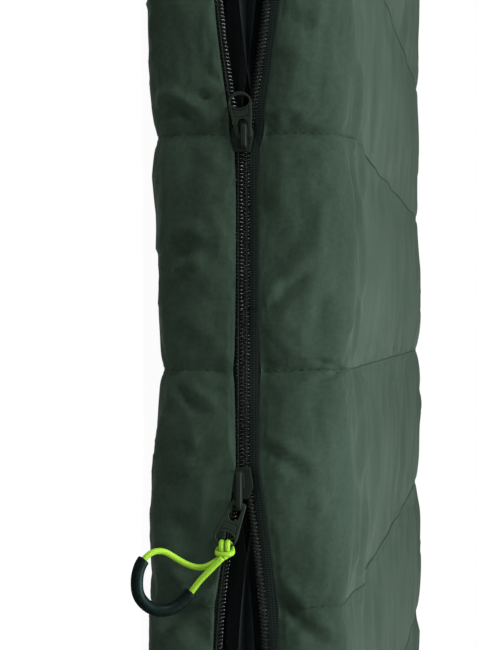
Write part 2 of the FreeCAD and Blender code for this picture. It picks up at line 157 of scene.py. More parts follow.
def lengths(points):
    """Distance along a line of points, at each of them."""
    return np.concatenate([[0], np.cumsum(np.linalg.norm(np.diff(points, axis=0), axis=1))])


def new_mesh(name, verts, faces, uv=None, smooth_shading=True):
    """A mesh object from arrays. uv is one pair for each vertex."""
    mesh = bpy.data.meshes.new(name)
    mesh.from_pydata([tuple(v) for v in verts], [], [tuple(int(i) for i in f) for f in faces])
    if uv is not None:
        layer = mesh.uv_layers.new(name="UVMap")
        loops = np.empty(len(mesh.loops), np.int32)
        mesh.loops.foreach_get("vertex_index", loops)
        layer.data.foreach_set("uv", np.asarray(uv, np.float32)[loops].ravel())
    if smooth_shading:
        mesh.polygons.foreach_set("use_smooth", [True] * len(mesh.polygons))
    mesh.update()
    return link(name, mesh)


def dress(obj, material):
    obj.data.materials.clear()
    obj.data.materials.append(material)
    return obj


def attach(obj, body, slot, *nodes):
    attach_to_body(obj, body)
    if nodes:
        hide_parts(*nodes)
    return obj


def catmull(points, steps):
    """A smooth line through given points, with steps spans between each two."""
    p = np.asarray(points, float)
    p = np.vstack([2 * p[0] - p[1], p, 2 * p[-1] - p[-2]])
    out = []
    for a, b, c, d in zip(p, p[1:], p[2:], p[3:]):
        slope, bend, twist = c - a, 2 * a - 5 * b + 4 * c - d, 3 * b - a - 3 * c + d
        for k in range(steps):
            t = k / steps
            out.append(0.5 * (2 * b + slope * t + bend * t**2 + twist * t**3))
    out.append(p[-2])
    return np.array(out)


def skin(start, count, rings):
    """Faces of a tube of rings, count points in each and the first at vertex start. Caps come last."""
    faces = []
    last = start + (rings - 1) * count
    for a in range(start, last, count):
        b = a + count
        for k in range(count):
            j = (k + 1) % count
            faces.append((a + k, a + j, b + j, b + k))
    faces.append(tuple(range(start, start + count))[::-1])
    faces.append(tuple(range(last, last + count)))
    return faces


def rings_mesh(name, rings, uv=None, cap=True):
    """Skin equal rings (arrays of points) into one tube, by default with u round it and v along it."""
    count = len(rings[0])
    if uv is None:
        uv = [(k / count, v) for v in lengths([r.mean(0) for r in rings]) for k in range(count)]
    faces = skin(0, count, len(rings))
    return new_mesh(name, np.vstack(rings), faces if cap else faces[:-2], uv)


def frames_along(path):
    """Unit tangent, side and up for each point of a path, turned as little as possible."""
    path = np.asarray(path, float)
    tangent = np.gradient(path, axis=0)
    tangent /= np.linalg.norm(tangent, axis=1)[:, None]
    side = np.cross(tangent[0], (0.0, 0.0, 1.0))
    if np.linalg.norm(side) < 0.2:
        side = np.cross(tangent[0], (0.0, 1.0, 0.0))
    sides = []
    for t in tangent:
        side = side - t * np.dot(side, t)
        side /= np.linalg.norm(side)
        sides.append(side)
    sides = np.array(sides)
    return tangent, sides, np.cross(tangent, sides)


def tube(name, path, radius, around=12):
    """A round tube along a path. radius is one number or one for each point."""
    path = np.asarray(path, float)
    _, side, up = frames_along(path)
    radius = np.broadcast_to(radius, len(path))
    angles = np.linspace(0, 2 * math.pi, around, endpoint=False)
    rings = [
        path[i] + radius[i] * (np.cos(angles)[:, None] * side[i] + np.sin(angles)[:, None] * up[i])
        for i in range(len(path))
    ]
    return rings_mesh(name, rings)


def smooth_route(points, resolution=12):
    """Points along the NURBS spline that has these control points."""
    curve = bpy.data.curves.new("route", "CURVE")
    curve.dimensions = "3D"
    curve.resolution_u = resolution
    spline = curve.splines.new("NURBS")
    spline.points.add(len(points) - 1)
    for point, at in zip(spline.points, points):
        point.co = (*at, 1)
    spline.order_u = 3
    spline.use_endpoint_u = True
    obj = link("route", curve)
    mesh = bpy.data.meshes.new_from_object(obj)
    line = np.array([v.co for v in mesh.vertices])
    bpy.data.objects.remove(obj)
    bpy.data.meshes.remove(mesh)
    bpy.data.curves.remove(curve)
    return line


def plate(name, outline, holes, thickness, bevel, resolution=2):
    """A flat plate in its own XY plane, with holes and rounded edges, centred on its thickness."""
    curve = bpy.data.curves.new(name, "CURVE")
    curve.dimensions = "2D"
    curve.fill_mode = "BOTH"
    curve.extrude = thickness / 2 - bevel
    curve.bevel_depth = bevel
    curve.bevel_resolution = resolution
    curve.offset = -bevel
    for loop in [outline] + list(holes):
        spline = curve.splines.new("POLY")
        spline.points.add(len(loop) - 1)
        for point, (x, y) in zip(spline.points, loop):
            point.co = (x, y, 0, 1)
        spline.use_cyclic_u = True
    obj = link(name, curve)
    mesh = bpy.data.meshes.new_from_object(obj)
    bpy.data.objects.remove(obj)
    bpy.data.curves.remove(curve)
    return link(name, mesh)


def join(name, objects):
    """One object from several meshes."""
    select(objects)
    bpy.ops.object.transform_apply(location=True, rotation=True, scale=True)
    bpy.ops.object.join()
    joined = bpy.context.view_layer.objects.active
    joined.name = name
    return joined


def shade_by_angle(obj, degrees=40):
    select([obj])
    bpy.ops.object.shade_smooth_by_angle(angle=math.radians(degrees))
    for modifier in list(obj.modifiers):
        bpy.ops.object.modifier_apply(modifier=modifier.name)
    return obj


def arc(cx, cy, rx, ry, start, end, steps):
    """Points of an elliptical arc, angles in degrees."""
    angles = np.radians(np.linspace(start, end, steps + 1))
    return [(cx + rx * math.cos(a), cy + ry * math.sin(a)) for a in angles]


# ---- materials


class Nodes:
    """A material being built: a Principled shader and short calls for the nodes that feed it."""

    def __init__(self, name, color, roughness):
        self.material = bpy.data.materials.new(name)
        self.material.use_nodes = True
        self.tree = self.material.node_tree
        self.shader = self.tree.nodes["Principled BSDF"]
        self.shader.inputs["Base Color"].default_value = (*color, 1)
        self.shader.inputs["Roughness"].default_value = roughness

    def add(self, kind, inputs=None, **settings):
        node = self.tree.nodes.new(kind)
        for key, value in settings.items():
            setattr(node, key, value)
        for key, value in (inputs or {}).items():
            self.feed(node.inputs[key], value)
        return node

    def feed(self, socket, value):
        if isinstance(value, bpy.types.NodeSocket):
            self.tree.links.new(value, socket)
        else:
            socket.default_value = value

    def coords(self, kind):
        return self.add("ShaderNodeTexCoord").outputs[kind]

    def noise(self, vector, scale, detail=3.0, rough=0.5):
        return self.add(
            "ShaderNodeTexNoise",
            {"Vector": vector, "Scale": scale, "Detail": detail, "Roughness": rough},
        ).outputs["Fac"]

    def wave(self, vector, scale, direction, distortion=0.0, detail=0.0):
        return self.add(
            "ShaderNodeTexWave",
            {"Vector": vector, "Scale": scale, "Distortion": distortion, "Detail": detail},
            bands_direction=direction,
        ).outputs["Fac"]

    def math(self, operation, a, b=0.5):
        return self.add("ShaderNodeMath", {0: a, 1: b}, operation=operation).outputs[0]

    def ramp(self, value, low, high, at=(0.35, 0.65)):
        node = self.add("ShaderNodeValToRGB", {"Fac": value})
        node.color_ramp.elements[0].position = at[0]
        node.color_ramp.elements[1].position = at[1]
        node.color_ramp.elements[0].color = (*low, 1)
        node.color_ramp.elements[1].color = (*high, 1)
        return node.outputs["Color"]

    def mix(self, factor, a, b):
        return self.add("ShaderNodeMix", {0: factor, 6: a, 7: b}, data_type="RGBA").outputs[2]

    def range(self, value, low, high, out_low, out_high):
        return self.add(
            "ShaderNodeMapRange",
            {"Value": value, "From Min": low, "From Max": high, "To Min": out_low, "To Max": out_high},
        ).outputs["Result"]

    def bump(self, height, distance, strength=1.0, under=None):
        inputs = {"Height": height, "Distance": distance, "Strength": strength}
        if under is not None:
            inputs["Normal"] = under
        return self.add("ShaderNodeBump", inputs).outputs["Normal"]

    def set(self, **values):
        for key, value in values.items():
            self.feed(self.shader.inputs[key.replace("_", " ")], value)
        return self.material


def cloth_material(name, dark, light, roughness, sheen, thread, twill=False):
    """Woven cloth: mottled dye, crossing threads of the given width in metres, soft lint sheen."""
    m = Nodes(name, light, roughness)
    flat = m.coords("UV")
    space = m.coords("Object")
    cloud = m.noise(space, 14.0, 2.0)
    mottle = m.noise(space, 420.0, 4.0, 0.65)
    grain = m.noise(flat, 1500.0, 2.0, 0.7)
    tone = m.math("ADD", m.math("MULTIPLY", mottle, 0.55), m.math("MULTIPLY", grain, 0.45))
    tone = m.math("ADD", tone, m.math("MULTIPLY", m.math("SUBTRACT", cloud, 0.5), 0.5))
    color = m.ramp(tone, dark, light, (0.30, 0.72))
    turns = math.pi / (thread * 20)
    if twill:
        turned = {"Vector": flat, "Rotation": (0, 0, math.radians(38))}
        flat = m.add("ShaderNodeMapping", turned).outputs["Vector"]
        weave = m.wave(flat, turns, "X", 0.6, 1.0)
        weave = m.math("ADD", weave, m.math("MULTIPLY", m.wave(flat, turns * 2.2, "Y", 0.4), 0.35))
    else:
        weave = m.math("MULTIPLY", m.wave(flat, turns, "X", 0.3), m.wave(flat, turns, "Y", 0.3))
    fine = m.bump(weave, thread * 0.35, 0.5)
    soft = m.bump(mottle, 0.00025, 0.35, fine)
    m.set(Sheen_Weight=sheen, Sheen_Roughness=0.3, Sheen_Tint=(0.75, 0.9, 0.8, 1))
    return m.set(Base_Color=color, Specular_IOR_Level=0.06, Normal=soft)


def tape_material(name, dark, light):
    """Knitted zip tape: fine ribs across it and a few lengthwise cords."""
    m = Nodes(name, light, 0.8)
    flat = m.coords("UV")
    ribs = m.wave(flat, math.pi / (0.0006 * 20), "X", 0.5, 1.0)
    cords = m.wave(flat, math.pi / (0.0008 * 20), "Y", 0.2)
    knit = m.math("ADD", m.math("MULTIPLY", ribs, 0.6), m.math("MULTIPLY", cords, 0.4))
    lint = m.noise(flat, 2200.0, 3.0, 0.7)
    tone = m.math("ADD", m.math("MULTIPLY", knit, 0.6), m.math("MULTIPLY", lint, 0.4))
    color = m.ramp(tone, dark, light, (0.25, 0.8))
    return m.set(Base_Color=color, Specular_IOR_Level=0.08, Normal=m.bump(tone, 0.00022, 0.8))


def coil_material():
    """Black nylon monofilament: a hard gloss, slightly scuffed."""
    m = Nodes("coil_nylon", (0.0012, 0.0020, 0.0019), 0.15)
    scuff = m.noise(m.coords("Object"), 900.0, 3.0, 0.6)
    rough = m.range(scuff, 0.3, 0.7, 0.17, 0.27)
    return m.set(Specular_IOR_Level=0.6, Roughness=rough, Normal=m.bump(scuff, 0.00004, 0.4))


def metal_material(name, paint, worn_and_highlight, roughness):
    """Painted die-cast metal: orange-peel paint; its edges are painted brighter, partly as rubbed wear and
    partly as a painted highlight.
    """
    m = Nodes(name, paint, roughness)
    space = m.coords("Object")
    peel = m.noise(space, 1400.0, 2.0, 0.5)
    stain = m.noise(space, 220.0, 4.0, 0.6)
    edge = m.add("ShaderNodeNewGeometry").outputs["Pointiness"]
    # Edges painted brighter from Pointiness: partly rubbed wear, partly a painted highlight that stands in
    # for edge glints.
    rub_and_highlight = m.range(m.math("ADD", edge, m.math("MULTIPLY", stain, 0.06)), 0.60, 0.72, 0.0, 1.0)
    tone = m.ramp(stain, tuple(c * 0.82 for c in paint), tuple(c * 1.15 for c in paint), (0.35, 0.7))
    color = m.mix(rub_and_highlight, tone, (*worn_and_highlight, 1))
    rough = m.range(stain, 0.3, 0.7, roughness - 0.08, roughness + 0.1)
    m.set(Specular_IOR_Level=0.11, Roughness=rough)
    return m.set(Base_Color=color, Normal=m.bump(peel, 0.00005, 0.35))


def cord_material():
    """Braided lime cord: strands cross at a slant, with a painted highlight where they cross."""
    m = Nodes("lime_braid", (0.42, 0.72, 0.04), 0.62)
    flat = m.coords("UV")
    split = m.add("ShaderNodeSeparateXYZ", {"Vector": flat})
    around, along = split.outputs["X"], split.outputs["Y"]
    turns = 7.0
    pitch = 0.0030

    def strand(sign):
        slant = m.math("ADD", m.math("MULTIPLY", around, turns * sign), m.math("DIVIDE", along, pitch))
        return m.math("ABSOLUTE", m.math("SINE", m.math("MULTIPLY", slant, math.pi)))

    one, other = strand(1), strand(-1)
    braid = m.math("MAXIMUM", one, other)
    cross = m.math("MULTIPLY", one, other)
    lint = m.noise(m.coords("Object"), 1800.0, 3.0, 0.7)
    tone = m.math("ADD", m.math("MULTIPLY", braid, 0.6), m.math("MULTIPLY", lint, 0.4))
    color = m.ramp(tone, (0.092, 0.212, 0.0068), (0.150, 0.282, 0.0112), (0.42, 0.78))
    # Painted highlight: a lighter lime is mixed in where the two strands cross.
    color = m.mix(m.range(cross, 0.8, 1.0, 0.0, 0.3), color, (0.25, 0.38, 0.035, 1))
    return m.set(Base_Color=color, Specular_IOR_Level=0.15, Normal=m.bump(braid, 0.00012, 0.7))


def rubber_material():
    """Dark green-black moulded rubber with a soft shine and faint scuffs."""
    m = Nodes("grip_rubber_dark", (0.003, 0.007, 0.006), 0.36)
    space = m.coords("Object")
    dust = m.noise(space, 500.0, 5.0, 0.7)
    color = m.ramp(dust, (0.0016, 0.0030, 0.0026), (0.0040, 0.0066, 0.0058), (0.4, 0.75))
    m.set(Specular_IOR_Level=0.06, Specular_Tint=(0.35, 0.85, 0.78, 1))
    rough = m.range(dust, 0.3, 0.7, 0.36, 0.52)
    return m.set(Base_Color=color, Roughness=rough, Normal=m.bump(dust, 0.00006, 0.4))


def batting_material():
    """White polyester batting: loose matted fibres."""
    m = Nodes("batting_white", (0.8, 0.8, 0.78), 0.95)
    space = m.coords("Object")
    fibre = m.noise(space, 160.0, 8.0, 0.75)
    color = m.ramp(fibre, (0.62, 0.62, 0.6), (0.86, 0.86, 0.84), (0.3, 0.7))
    return m.set(Base_Color=color, Normal=m.bump(fibre, 0.003, 0.8))


SHELL = cloth_material("shell_cloth", (0.0078, 0.0152, 0.0100), (0.0160, 0.0285, 0.0195), 0.8, 0.10, 0.0003)
LINING = cloth_material(
    "lining_cloth", (0.0026, 0.0040, 0.0044), (0.0105, 0.0140, 0.0155), 0.7, 0.04, 0.0006, twill=True
)
THREAD = cloth_material("seam_thread", (0.009, 0.016, 0.011), (0.020, 0.032, 0.024), 0.8, 0.0, 0.0003)
TAPE = tape_material("zip_tape_knit", (0.0036, 0.0058, 0.0050), (0.018, 0.028, 0.024))
COIL = coil_material()
SLIDER_METAL = metal_material("slider_paint", (0.0032, 0.0066, 0.0040), (0.030, 0.050, 0.038), 0.58)
# The tabs share one paint in two copies: the head tab's is painted lighter for the light it catches, and
# the foot tab's is darker for its shade.
HEAD_TAB_METAL_LIT = metal_material("head_tab_paint_lit", (0.0072, 0.0128, 0.0082), (0.030, 0.046, 0.036), 0.50)
FOOT_TAB_METAL_SHADED = metal_material("foot_tab_paint_shaded", (0.0044, 0.0088, 0.0054), (0.026, 0.042, 0.031), 0.56)
LIME = cord_material()
RUBBER = rubber_material()
BATTING = batting_material()


# ---- quilted layers

# Profile of a layer's edge from its face to its lip, as (outward from the zip plane, height from
# the zip line). The upper layer's lip stands clear of the chain, so its tape shows; the lower
# layer's lip laps over its tape as far as the coil.
FACE_UP = (TOP_FACE - ZIP_Z) / MM
FACE_DOWN = -ZIP_Z / MM
TOP_PROFILE = [
    (-24, FACE_UP), (-17, FACE_UP - 1.3), (-10, FACE_UP - 4.4), (-4, FACE_UP - 9.5),
    (0.4, FACE_UP - 16.5), (3.2, FACE_UP - 24.5), (4.6, FACE_UP - 32), (4.4, FACE_UP - 38),
    (3.6, 11.2), (3.1, 9.0), (2.1, 8.1), (0.2, 8.5),
]
BOTTOM_PROFILE = [
    (-24, FACE_DOWN + 4.2), (-15, FACE_DOWN + 5.2), (-8, FACE_DOWN + 7.4), (-2.2, FACE_DOWN + 11.2),
    (1.4, FACE_DOWN + 16.5), (3.3, FACE_DOWN + 23), (4.3, FACE_DOWN + 30), (4.8, FACE_DOWN + 37.5),
    (4.8, -9.0), (4.2, -5.6), (2.8, -3.6), (0.2, -3.9),
]
# How far the lower layer's outer edge rises from the floor, as (x, rise) in millimetres.
EDGE_RISE = [
    (-170, 0), (-124, -3.0), (-83, -0.4), (-54, 0.8), (-38, -0.6), (-20, 1.4), (-4, 1.2),
    (11, 4.6), (25, 2.6), (43, 2.6), (59, 3.4), (90, 2.4), (131, -1.4), (150, -1.2), (160, -1.0),
    (172, -3.9), (186, -2.6), (205, -1.8), (240, 0),
]
CREASE_DEPTH = 2.1
LOFT_CAP = 0.011
TOP_LINING_PROFILE = [(0.0, 8.6), (-4, 8.2), (-9, 7.2), (-16, 6.2), (-24, 6.0)]
BOTTOM_LINING_PROFILE = [(0.0, -4.0), (-4, -4.2), (-9, -5.0), (-16, -5.8), (-24, -6.0)]


def columns(fine, coarse):
    """Stations along X: close together in the detailed stretch, and drawn in towards each seam."""
    edges = [-HALF_X + FACE_INSET] + SEAMS + [HALF_X - FACE_INSET]
    xs = []
    for low, high in zip(edges, edges[1:]):
        near = high > VIEW_LOW and low < VIEW_HIGH
        count = fine if near else coarse
        t = np.linspace(0, 1, count + 1)[:-1]
        xs.extend(low + (high - low) * (t - 0.10 * np.sin(2 * math.pi * t)))
    xs.append(edges[-1])
    return np.array(xs)


def rows(fine, coarse):
    """Stations along Y: close together on the zip side."""
    low, high = -HALF_Y + FACE_INSET, HALF_Y - FACE_INSET
    ys = [low]
    step = fine
    while ys[-1] + step < high:
        ys.append(ys[-1] + step)
        step = min(step * 1.08, coarse)
    ys[-1] = high
    return np.array(ys)


def round_corners(x, y):
    """Bend a rectangular grid so that its corners are round."""
    radius = CORNER - FACE_INSET
    cx, cy = HALF_X - CORNER, HALF_Y - CORNER
    a = np.clip((np.abs(x) - cx) / radius, 0, 1)
    b = np.clip((np.abs(y) - cy) / radius, 0, 1)
    corner = (a > 0) & (b > 0)
    px = np.where(corner, np.sign(x) * (cx + radius * a * np.sqrt(1 - b * b / 2)), x)
    py = np.where(corner, np.sign(y) * (cy + radius * b * np.sqrt(1 - a * a / 2)), y)
    return px, py


class Layer:
    """One face of a layer: a grid, and rings that run from its border round the edge profile."""

    def __init__(self, xs, ys, profile, level, up):
        self.xs, self.up = xs, up
        self.nx, self.ny = nx, ny = len(xs), len(ys)
        gx, gy = np.meshgrid(xs, ys, indexing="ij")
        px, py = round_corners(gx, gy)
        self.loop = (
            [(i, 0) for i in range(nx)]
            + [(nx - 1, j) for j in range(1, ny)]
            + [(i, ny - 1) for i in range(nx - 2, -1, -1)]
            + [(0, j) for j in range(ny - 2, 0, -1)]
        )
        li = np.array([p[0] for p in self.loop])
        lj = np.array([p[1] for p in self.loop])
        bx, by = px[li, lj], py[li, lj]
        out = np.stack([self.outward(bx, HALF_X), self.outward(by, HALF_Y)], 1)
        out /= np.linalg.norm(out, axis=1)[:, None]
        self.border = np.stack([bx, by], 1)
        self.out = out
        self.profile = np.asarray(profile) * MM
        n = self.profile[:, 0] + FACE_INSET
        rings = []
        side = 1 if up else -1
        gape = parting(bx, by, side) * side
        first, last = self.profile[0, 1], self.profile[-1, 1]
        for k in range(1, len(self.profile)):
            height = self.profile[k, 1]
            share = np.clip((height - first) / (last - first), 0, 1.05)
            xy = self.border + out * n[k]
            z = ZIP_Z + height + gape * share
            rings.append(np.column_stack([xy, z]))
        rim = np.minimum(HALF_X - FACE_INSET - np.abs(px), HALF_Y - FACE_INSET - np.abs(py))
        lift = (ZIP_Z + first - level) * (1 - smooth(rim / RIM_RISE)) ** 2
        self.face = np.stack([px, py, level + lift], -1).reshape(-1, 3)
        self.verts = np.vstack([self.face] + rings)
        self.arc = self.arc_lengths(px, py)

    def outward(self, at, half):
        """The outward normal's share along one axis, before it is made a unit."""
        return np.sign(at) * np.clip(np.abs(at) - (half - CORNER), 0, None)

    def arc_lengths(self, px, py):
        """(x, distance across the cloth) for each vertex, for the weave and for creases."""
        steps = lengths(self.profile)
        u = [px.reshape(-1)]
        v = [py.reshape(-1)]
        for k in range(1, len(self.profile)):
            u.append(self.border[:, 0] + self.out[:, 0] * steps[k])
            v.append(self.border[:, 1] + self.out[:, 1] * steps[k])
        return np.stack([np.concatenate(u), np.concatenate(v)], 1)

    def ring_start(self, k):
        """Index of the first vertex of ring k. Ring 0 is the face's own border."""
        return self.nx * self.ny + (k - 1) * len(self.loop)

    def faces(self):
        nx, ny = self.nx, self.ny
        base = (np.arange(nx - 1)[:, None] * ny + np.arange(ny - 1)[None, :]).ravel()
        quads = np.stack([base, base + ny, base + ny + 1, base + 1], 1)
        border = np.array([i * ny + j for i, j in self.loop])
        count = len(border)
        levels = [border] + [self.ring_start(k) + np.arange(count) for k in range(1, len(self.profile))]
        bands = []
        for a, b in zip(levels, levels[1:]):
            bands.append(np.stack([a, b, np.roll(b, -1), np.roll(a, -1)], 1))
        quads = np.vstack([quads] + bands)
        return quads if self.up else quads[:, ::-1]

    def seam_line(self, seam):
        """Vertex indices along one seam: up the zip side, over the face and down the far side."""
        i = int(np.argmin(np.abs(self.xs - seam)))
        near = [self.ring_start(k) + i for k in range(len(self.profile) - 1, 0, -1)]
        across = [i * self.ny + j for j in range(self.ny)]
        far_slot = self.nx + (self.ny - 1) + (self.nx - 2 - i)
        far = [self.ring_start(k) + far_slot for k in range(1, len(self.profile))]
        return near + across + far


def normals_of(verts, faces):
    a, b, c, d = (verts[faces[:, k]] for k in range(4))
    n = np.cross(c - a, d - b)
    out = np.zeros_like(verts)
    for k in range(4):
        np.add.at(out, faces[:, k], n)
    return out / np.maximum(np.linalg.norm(out, axis=1), 1e-12)[:, None]


def seam_distance(x):
    """Distance along X to the nearest seam."""
    u = (x - shell_low.x) / BAFFLE
    k = np.clip(np.round(u), 1, BAFFLES - 1)
    return np.abs(u - k) * BAFFLE


def lumps(points, size, seed):
    """Smooth noise from -1 to 1 at each point, with features of the given size."""
    shift = Vector((seed * 7.3, seed * 3.1, seed * 5.7))
    return np.array([noise.noise(Vector(p) / size + shift) for p in points])


def crease_offsets(flat, creases):
    """Push along the normal near each given line. Width and depth are in millimetres."""
    push = np.zeros(len(flat))
    for line, width, depth in creases:
        pts = catmull(np.asarray(line, float) * MM, 6)
        best = np.full(len(flat), 1e9)
        where = np.zeros(len(flat))
        total = len(pts) - 1
        for s in range(total):
            a, b = pts[s], pts[s + 1]
            ab = b - a
            t = np.clip(((flat - a) @ ab) / max(ab @ ab, 1e-12), 0, 1)
            gap = np.linalg.norm(flat - a - t[:, None] * ab, axis=1)
            closer = gap < best
            best = np.where(closer, gap, best)
            where = np.where(closer, (s + t) / total, where)
        ends = np.clip(np.minimum(where, 1 - where) * 5, 0, 1) ** 0.7
        push += depth * MM * dent(best, width * MM) * (0.25 + 0.75 * ends)
    return push


# Creases of the zip side, as (line of (x, height from the zip line), width, push) in millimetres.
# A positive push is a ridge and a negative one a valley.
LOWER_CREASES = [
    ([(-72, -43), (-78, -37), (-74, -28), (-68, -19)], 3.2, 1.5),
    ([(-66, -40), (-71, -33), (-66, -24)], 2.6, -1.4),
    ([(-89, -17), (-82, -10)], 1.6, -0.9),
    ([(-79, -23), (-74, -15)], 1.7, -0.9),
    ([(-65, -10), (-60, -6)], 1.4, -0.8),
    ([(-11, -32), (-12, -24), (-6, -15)], 2.6, 1.0),
    ([(-5, -37), (-2, -30), (1, -25)], 4.5, -1.6),
    ([(10, -40), (7, -29), (3, -18)], 3.2, 1.3),
    ([(16, -42), (12, -33), (9, -24)], 2.4, -1.0),
    ([(-15, -9), (-7, -4)], 1.5, -0.8),
    ([(65, -36), (72, -28), (80, -18)], 3.2, -1.2),
    ([(73, -41), (83, -34), (92, -26)], 3.6, -1.2),
    ([(66, -27), (70, -20), (76, -12)], 2.6, 0.9),
    ([(78, -39), (87, -31), (94, -21)], 3.4, 1.1),
    ([(129, -38), (137, -27), (149, -22)], 6.0, -1.3),
    ([(150, -40), (157, -30), (170, -24)], 7.0, 1.2),
    ([(174, -36), (180, -25), (192, -19)], 6.0, -1.1),
    ([(28, -30), (40, -20), (46, -10)], 6.0, 0.7),
    ([(-30, -24), (-38, -16), (-48, -12)], 6.5, 0.8),
]
UPPER_CREASES = [
    ([(-70, 9), (-69, 18), (-70, 28)], 3.0, 1.0),
    ([(25, 10), (14, 19), (4, 30), (-2, 40)], 3.2, 1.3),
    ([(32, 11), (22, 21), (11, 32)], 3.0, -1.2),
    ([(52, 38), (56, 46), (60, 50)], 1.4, -0.8),
    ([(51, 40), (58, 48)], 1.4, 0.6),
    ([(62, 39), (60, 46), (57, 51)], 1.5, -0.7),
    ([(-57, 35), (-53, 39)], 1.4, -1.0),
    ([(-56, 40), (-51, 45)], 1.4, -1.1),
    ([(-60, 38), (-64, 44)], 1.6, 0.8),
    ([(94, 10), (101, 21), (109, 33)], 2.8, -1.0),
    ([(90, 12), (97, 24), (104, 36)], 3.2, 0.8),
    ([(130, 17), (128, 33), (126, 50)], 2.6, -0.7),
    ([(166, 17), (178, 26), (195, 42)], 3.4, -0.9),
    ([(160, 20), (172, 30), (188, 46)], 4.0, 0.8),
    ([(20, 44), (29, 48), (40, 50)], 4.0, 1.0),
    ([(-30, 14), (-34, 26), (-44, 36)], 6.0, 0.7),
    ([(-104, 14), (-96, 26), (-92, 40)], 6.0, 0.8),
    ([(-116, 22), (-108, 34), (-104, 46)], 4.0, -0.8),
]


# Folds of the upper layer's face beside the zip, as (line, width, push) in the same way. Each point
# of a line is (x, distance in from the edge).
FACE_FOLDS = [
    ([(-98, 32), (-76, 40), (-50, 34)], 8, 4.2),
    ([(-66, 66), (-46, 76), (-28, 68)], 11, 3.8),
    ([(-32, 42), (-8, 56), (22, 78)], 9, 3.8),
    ([(60, 52), (88, 66), (120, 56)], 13, 4.6),
    ([(58, 28), (74, 32), (94, 40)], 5, 1.8),
    ([(20, 36), (36, 42), (54, 34)], 6, 2.2),
    ([(116, 32), (138, 38), (160, 30)], 8, 3.4),
    ([(128, 84), (158, 96), (190, 84)], 14, 3.4),
    ([(-124, 74), (-106, 62), (-90, 72)], 10, 3.0),
    ([(-52, 26), (-22, 31), (10, 26)], 4.5, -2.0),
    ([(64, 90), (84, 104), (112, 98)], 14, 3.0),
]


def ring_share(layer):
    """0 on the flat face, rising to 1 at the lip, for each vertex."""
    rings = len(layer.profile) - 1
    steps = np.repeat(np.arange(1, rings + 1) / rings, len(layer.loop))
    return np.concatenate([np.zeros(layer.nx * layer.ny), steps])


def off_lip(share):
    """1 on the face and most of the edge, fading to 0 at the lip."""
    return 1 - smooth((share - 0.62) / 0.38)


def fill_channels(layer, verts, faces, seed):
    """Fill out the channels and pull the seams in."""
    x = verts[:, 0]
    d = seam_distance(x)
    share = ring_share(layer)
    fade_lip = off_lip(share)
    fade_face = np.where(share > 0, 1 - smooth(share / 0.6), 1.0)
    ends = smooth((HALF_X - 0.012 - np.abs(x)) / 0.03)
    inside = smooth((HALF_Y - 0.03 - np.abs(verts[:, 1])) / 0.05)
    depth_face = 0.4 * dent(d, 0.0065) + 2.4 * dent(d, 0.024) - 1.0
    depth_side = 2.1 * dent(d, 0.0045) + 2.2 * dent(d, 0.017) - 0.9
    depth = depth_side + (depth_face - depth_side) * fade_face * (0.35 + 0.65 * inside)
    push = -depth * MM * ends * (0.25 + 0.75 * fade_lip)
    level = np.full(len(verts), seed)
    big = lumps(np.column_stack([layer.arc, level]), 0.075, seed)
    push += 2.4 * big * MM * (0.2 + 0.8 * fade_lip) * smooth(d / 0.02)
    folds = lumps(np.column_stack([layer.arc * (1, 0.5), level]), 0.036, seed + 4)
    push += 1.5 * folds * MM * fade_face
    moved = verts + normals_of(verts, faces) * push[:, None]
    if not layer.up:
        xs, rise = np.array(EDGE_RISE).T * MM
        below = smooth((ZIP_Z - 0.018 - verts[:, 2]) / 0.022)
        beside_zip = smooth((0.09 - HALF_Y - verts[:, 1]) / 0.09)
        moved[:, 2] += np.interp(x, xs, rise) * (below * beside_zip)
    moved[:, 2] = np.maximum(moved[:, 2], 0.0002)
    return moved


def wrinkle(layer, verts, faces, seed, creases):
    """Pucker the cloth beside the seams and press the listed creases into the zip side."""
    x = layer.verts[:, 0]
    flat = layer.arc
    d = seam_distance(x)
    share = ring_share(layer)
    fade_lip = off_lip(share)
    level = np.full(len(flat), seed)
    small = lumps(np.column_stack([flat[:, 0] * 0.55, flat[:, 1], level]), 0.017, seed + 1)
    pucker = lumps(np.column_stack([flat[:, 0] * 0.22, flat[:, 1], level]), 0.0062, seed + 2)
    push = 0.35 * small * (0.4 + np.exp(-d / 0.03)) * MM * (0.2 + 0.8 * fade_lip)
    calm = 0.3 + 0.7 * smooth(share / 0.3)
    push += 0.9 * pucker * MM * np.exp(-d / 0.010) * (0.35 + 0.65 * fade_lip) * calm
    on_zip = (layer.verts[:, 1] < -HALF_Y + 0.03) & (share > 0)
    near = on_zip & (x > VIEW_LOW - 0.03) & (x < VIEW_HIGH + 0.03)
    heights = np.column_stack([x, layer.verts[:, 2] - ZIP_Z])
    extra = np.zeros(len(verts))
    extra[near] = crease_offsets(heights[near], creases)
    if layer.up:
        beside = (layer.verts[:, 1] < -HALF_Y + 0.14) & (share < 0.3) & (np.abs(x - 0.035) < 0.19)
        inward = np.column_stack([x, layer.verts[:, 1] + HALF_Y])
        extra[beside] += crease_offsets(inward[beside], FACE_FOLDS) / CREASE_DEPTH
    push += CREASE_DEPTH * extra * (0.15 + 0.85 * fade_lip)
    moved = verts + normals_of(verts, faces) * push[:, None]
    moved[:, 2] = np.maximum(moved[:, 2], 0.0002)
    over = moved[:, 2] - TOP_FACE
    moved[:, 2] = np.where(over > 0, TOP_FACE + LOFT_CAP * np.tanh(over / LOFT_CAP), moved[:, 2])
    for x, z, reach in PRESSED:
        gap = np.hypot(moved[:, 0] - x, moved[:, 2] - z)
        limit = ZIP_Y - 0.0036 - 0.004 * smooth((gap - reach) / 0.012)
        under = on_zip & (gap < reach + 0.012)
        moved[under, 1] = np.maximum(moved[under, 1], limit[under])
    return moved


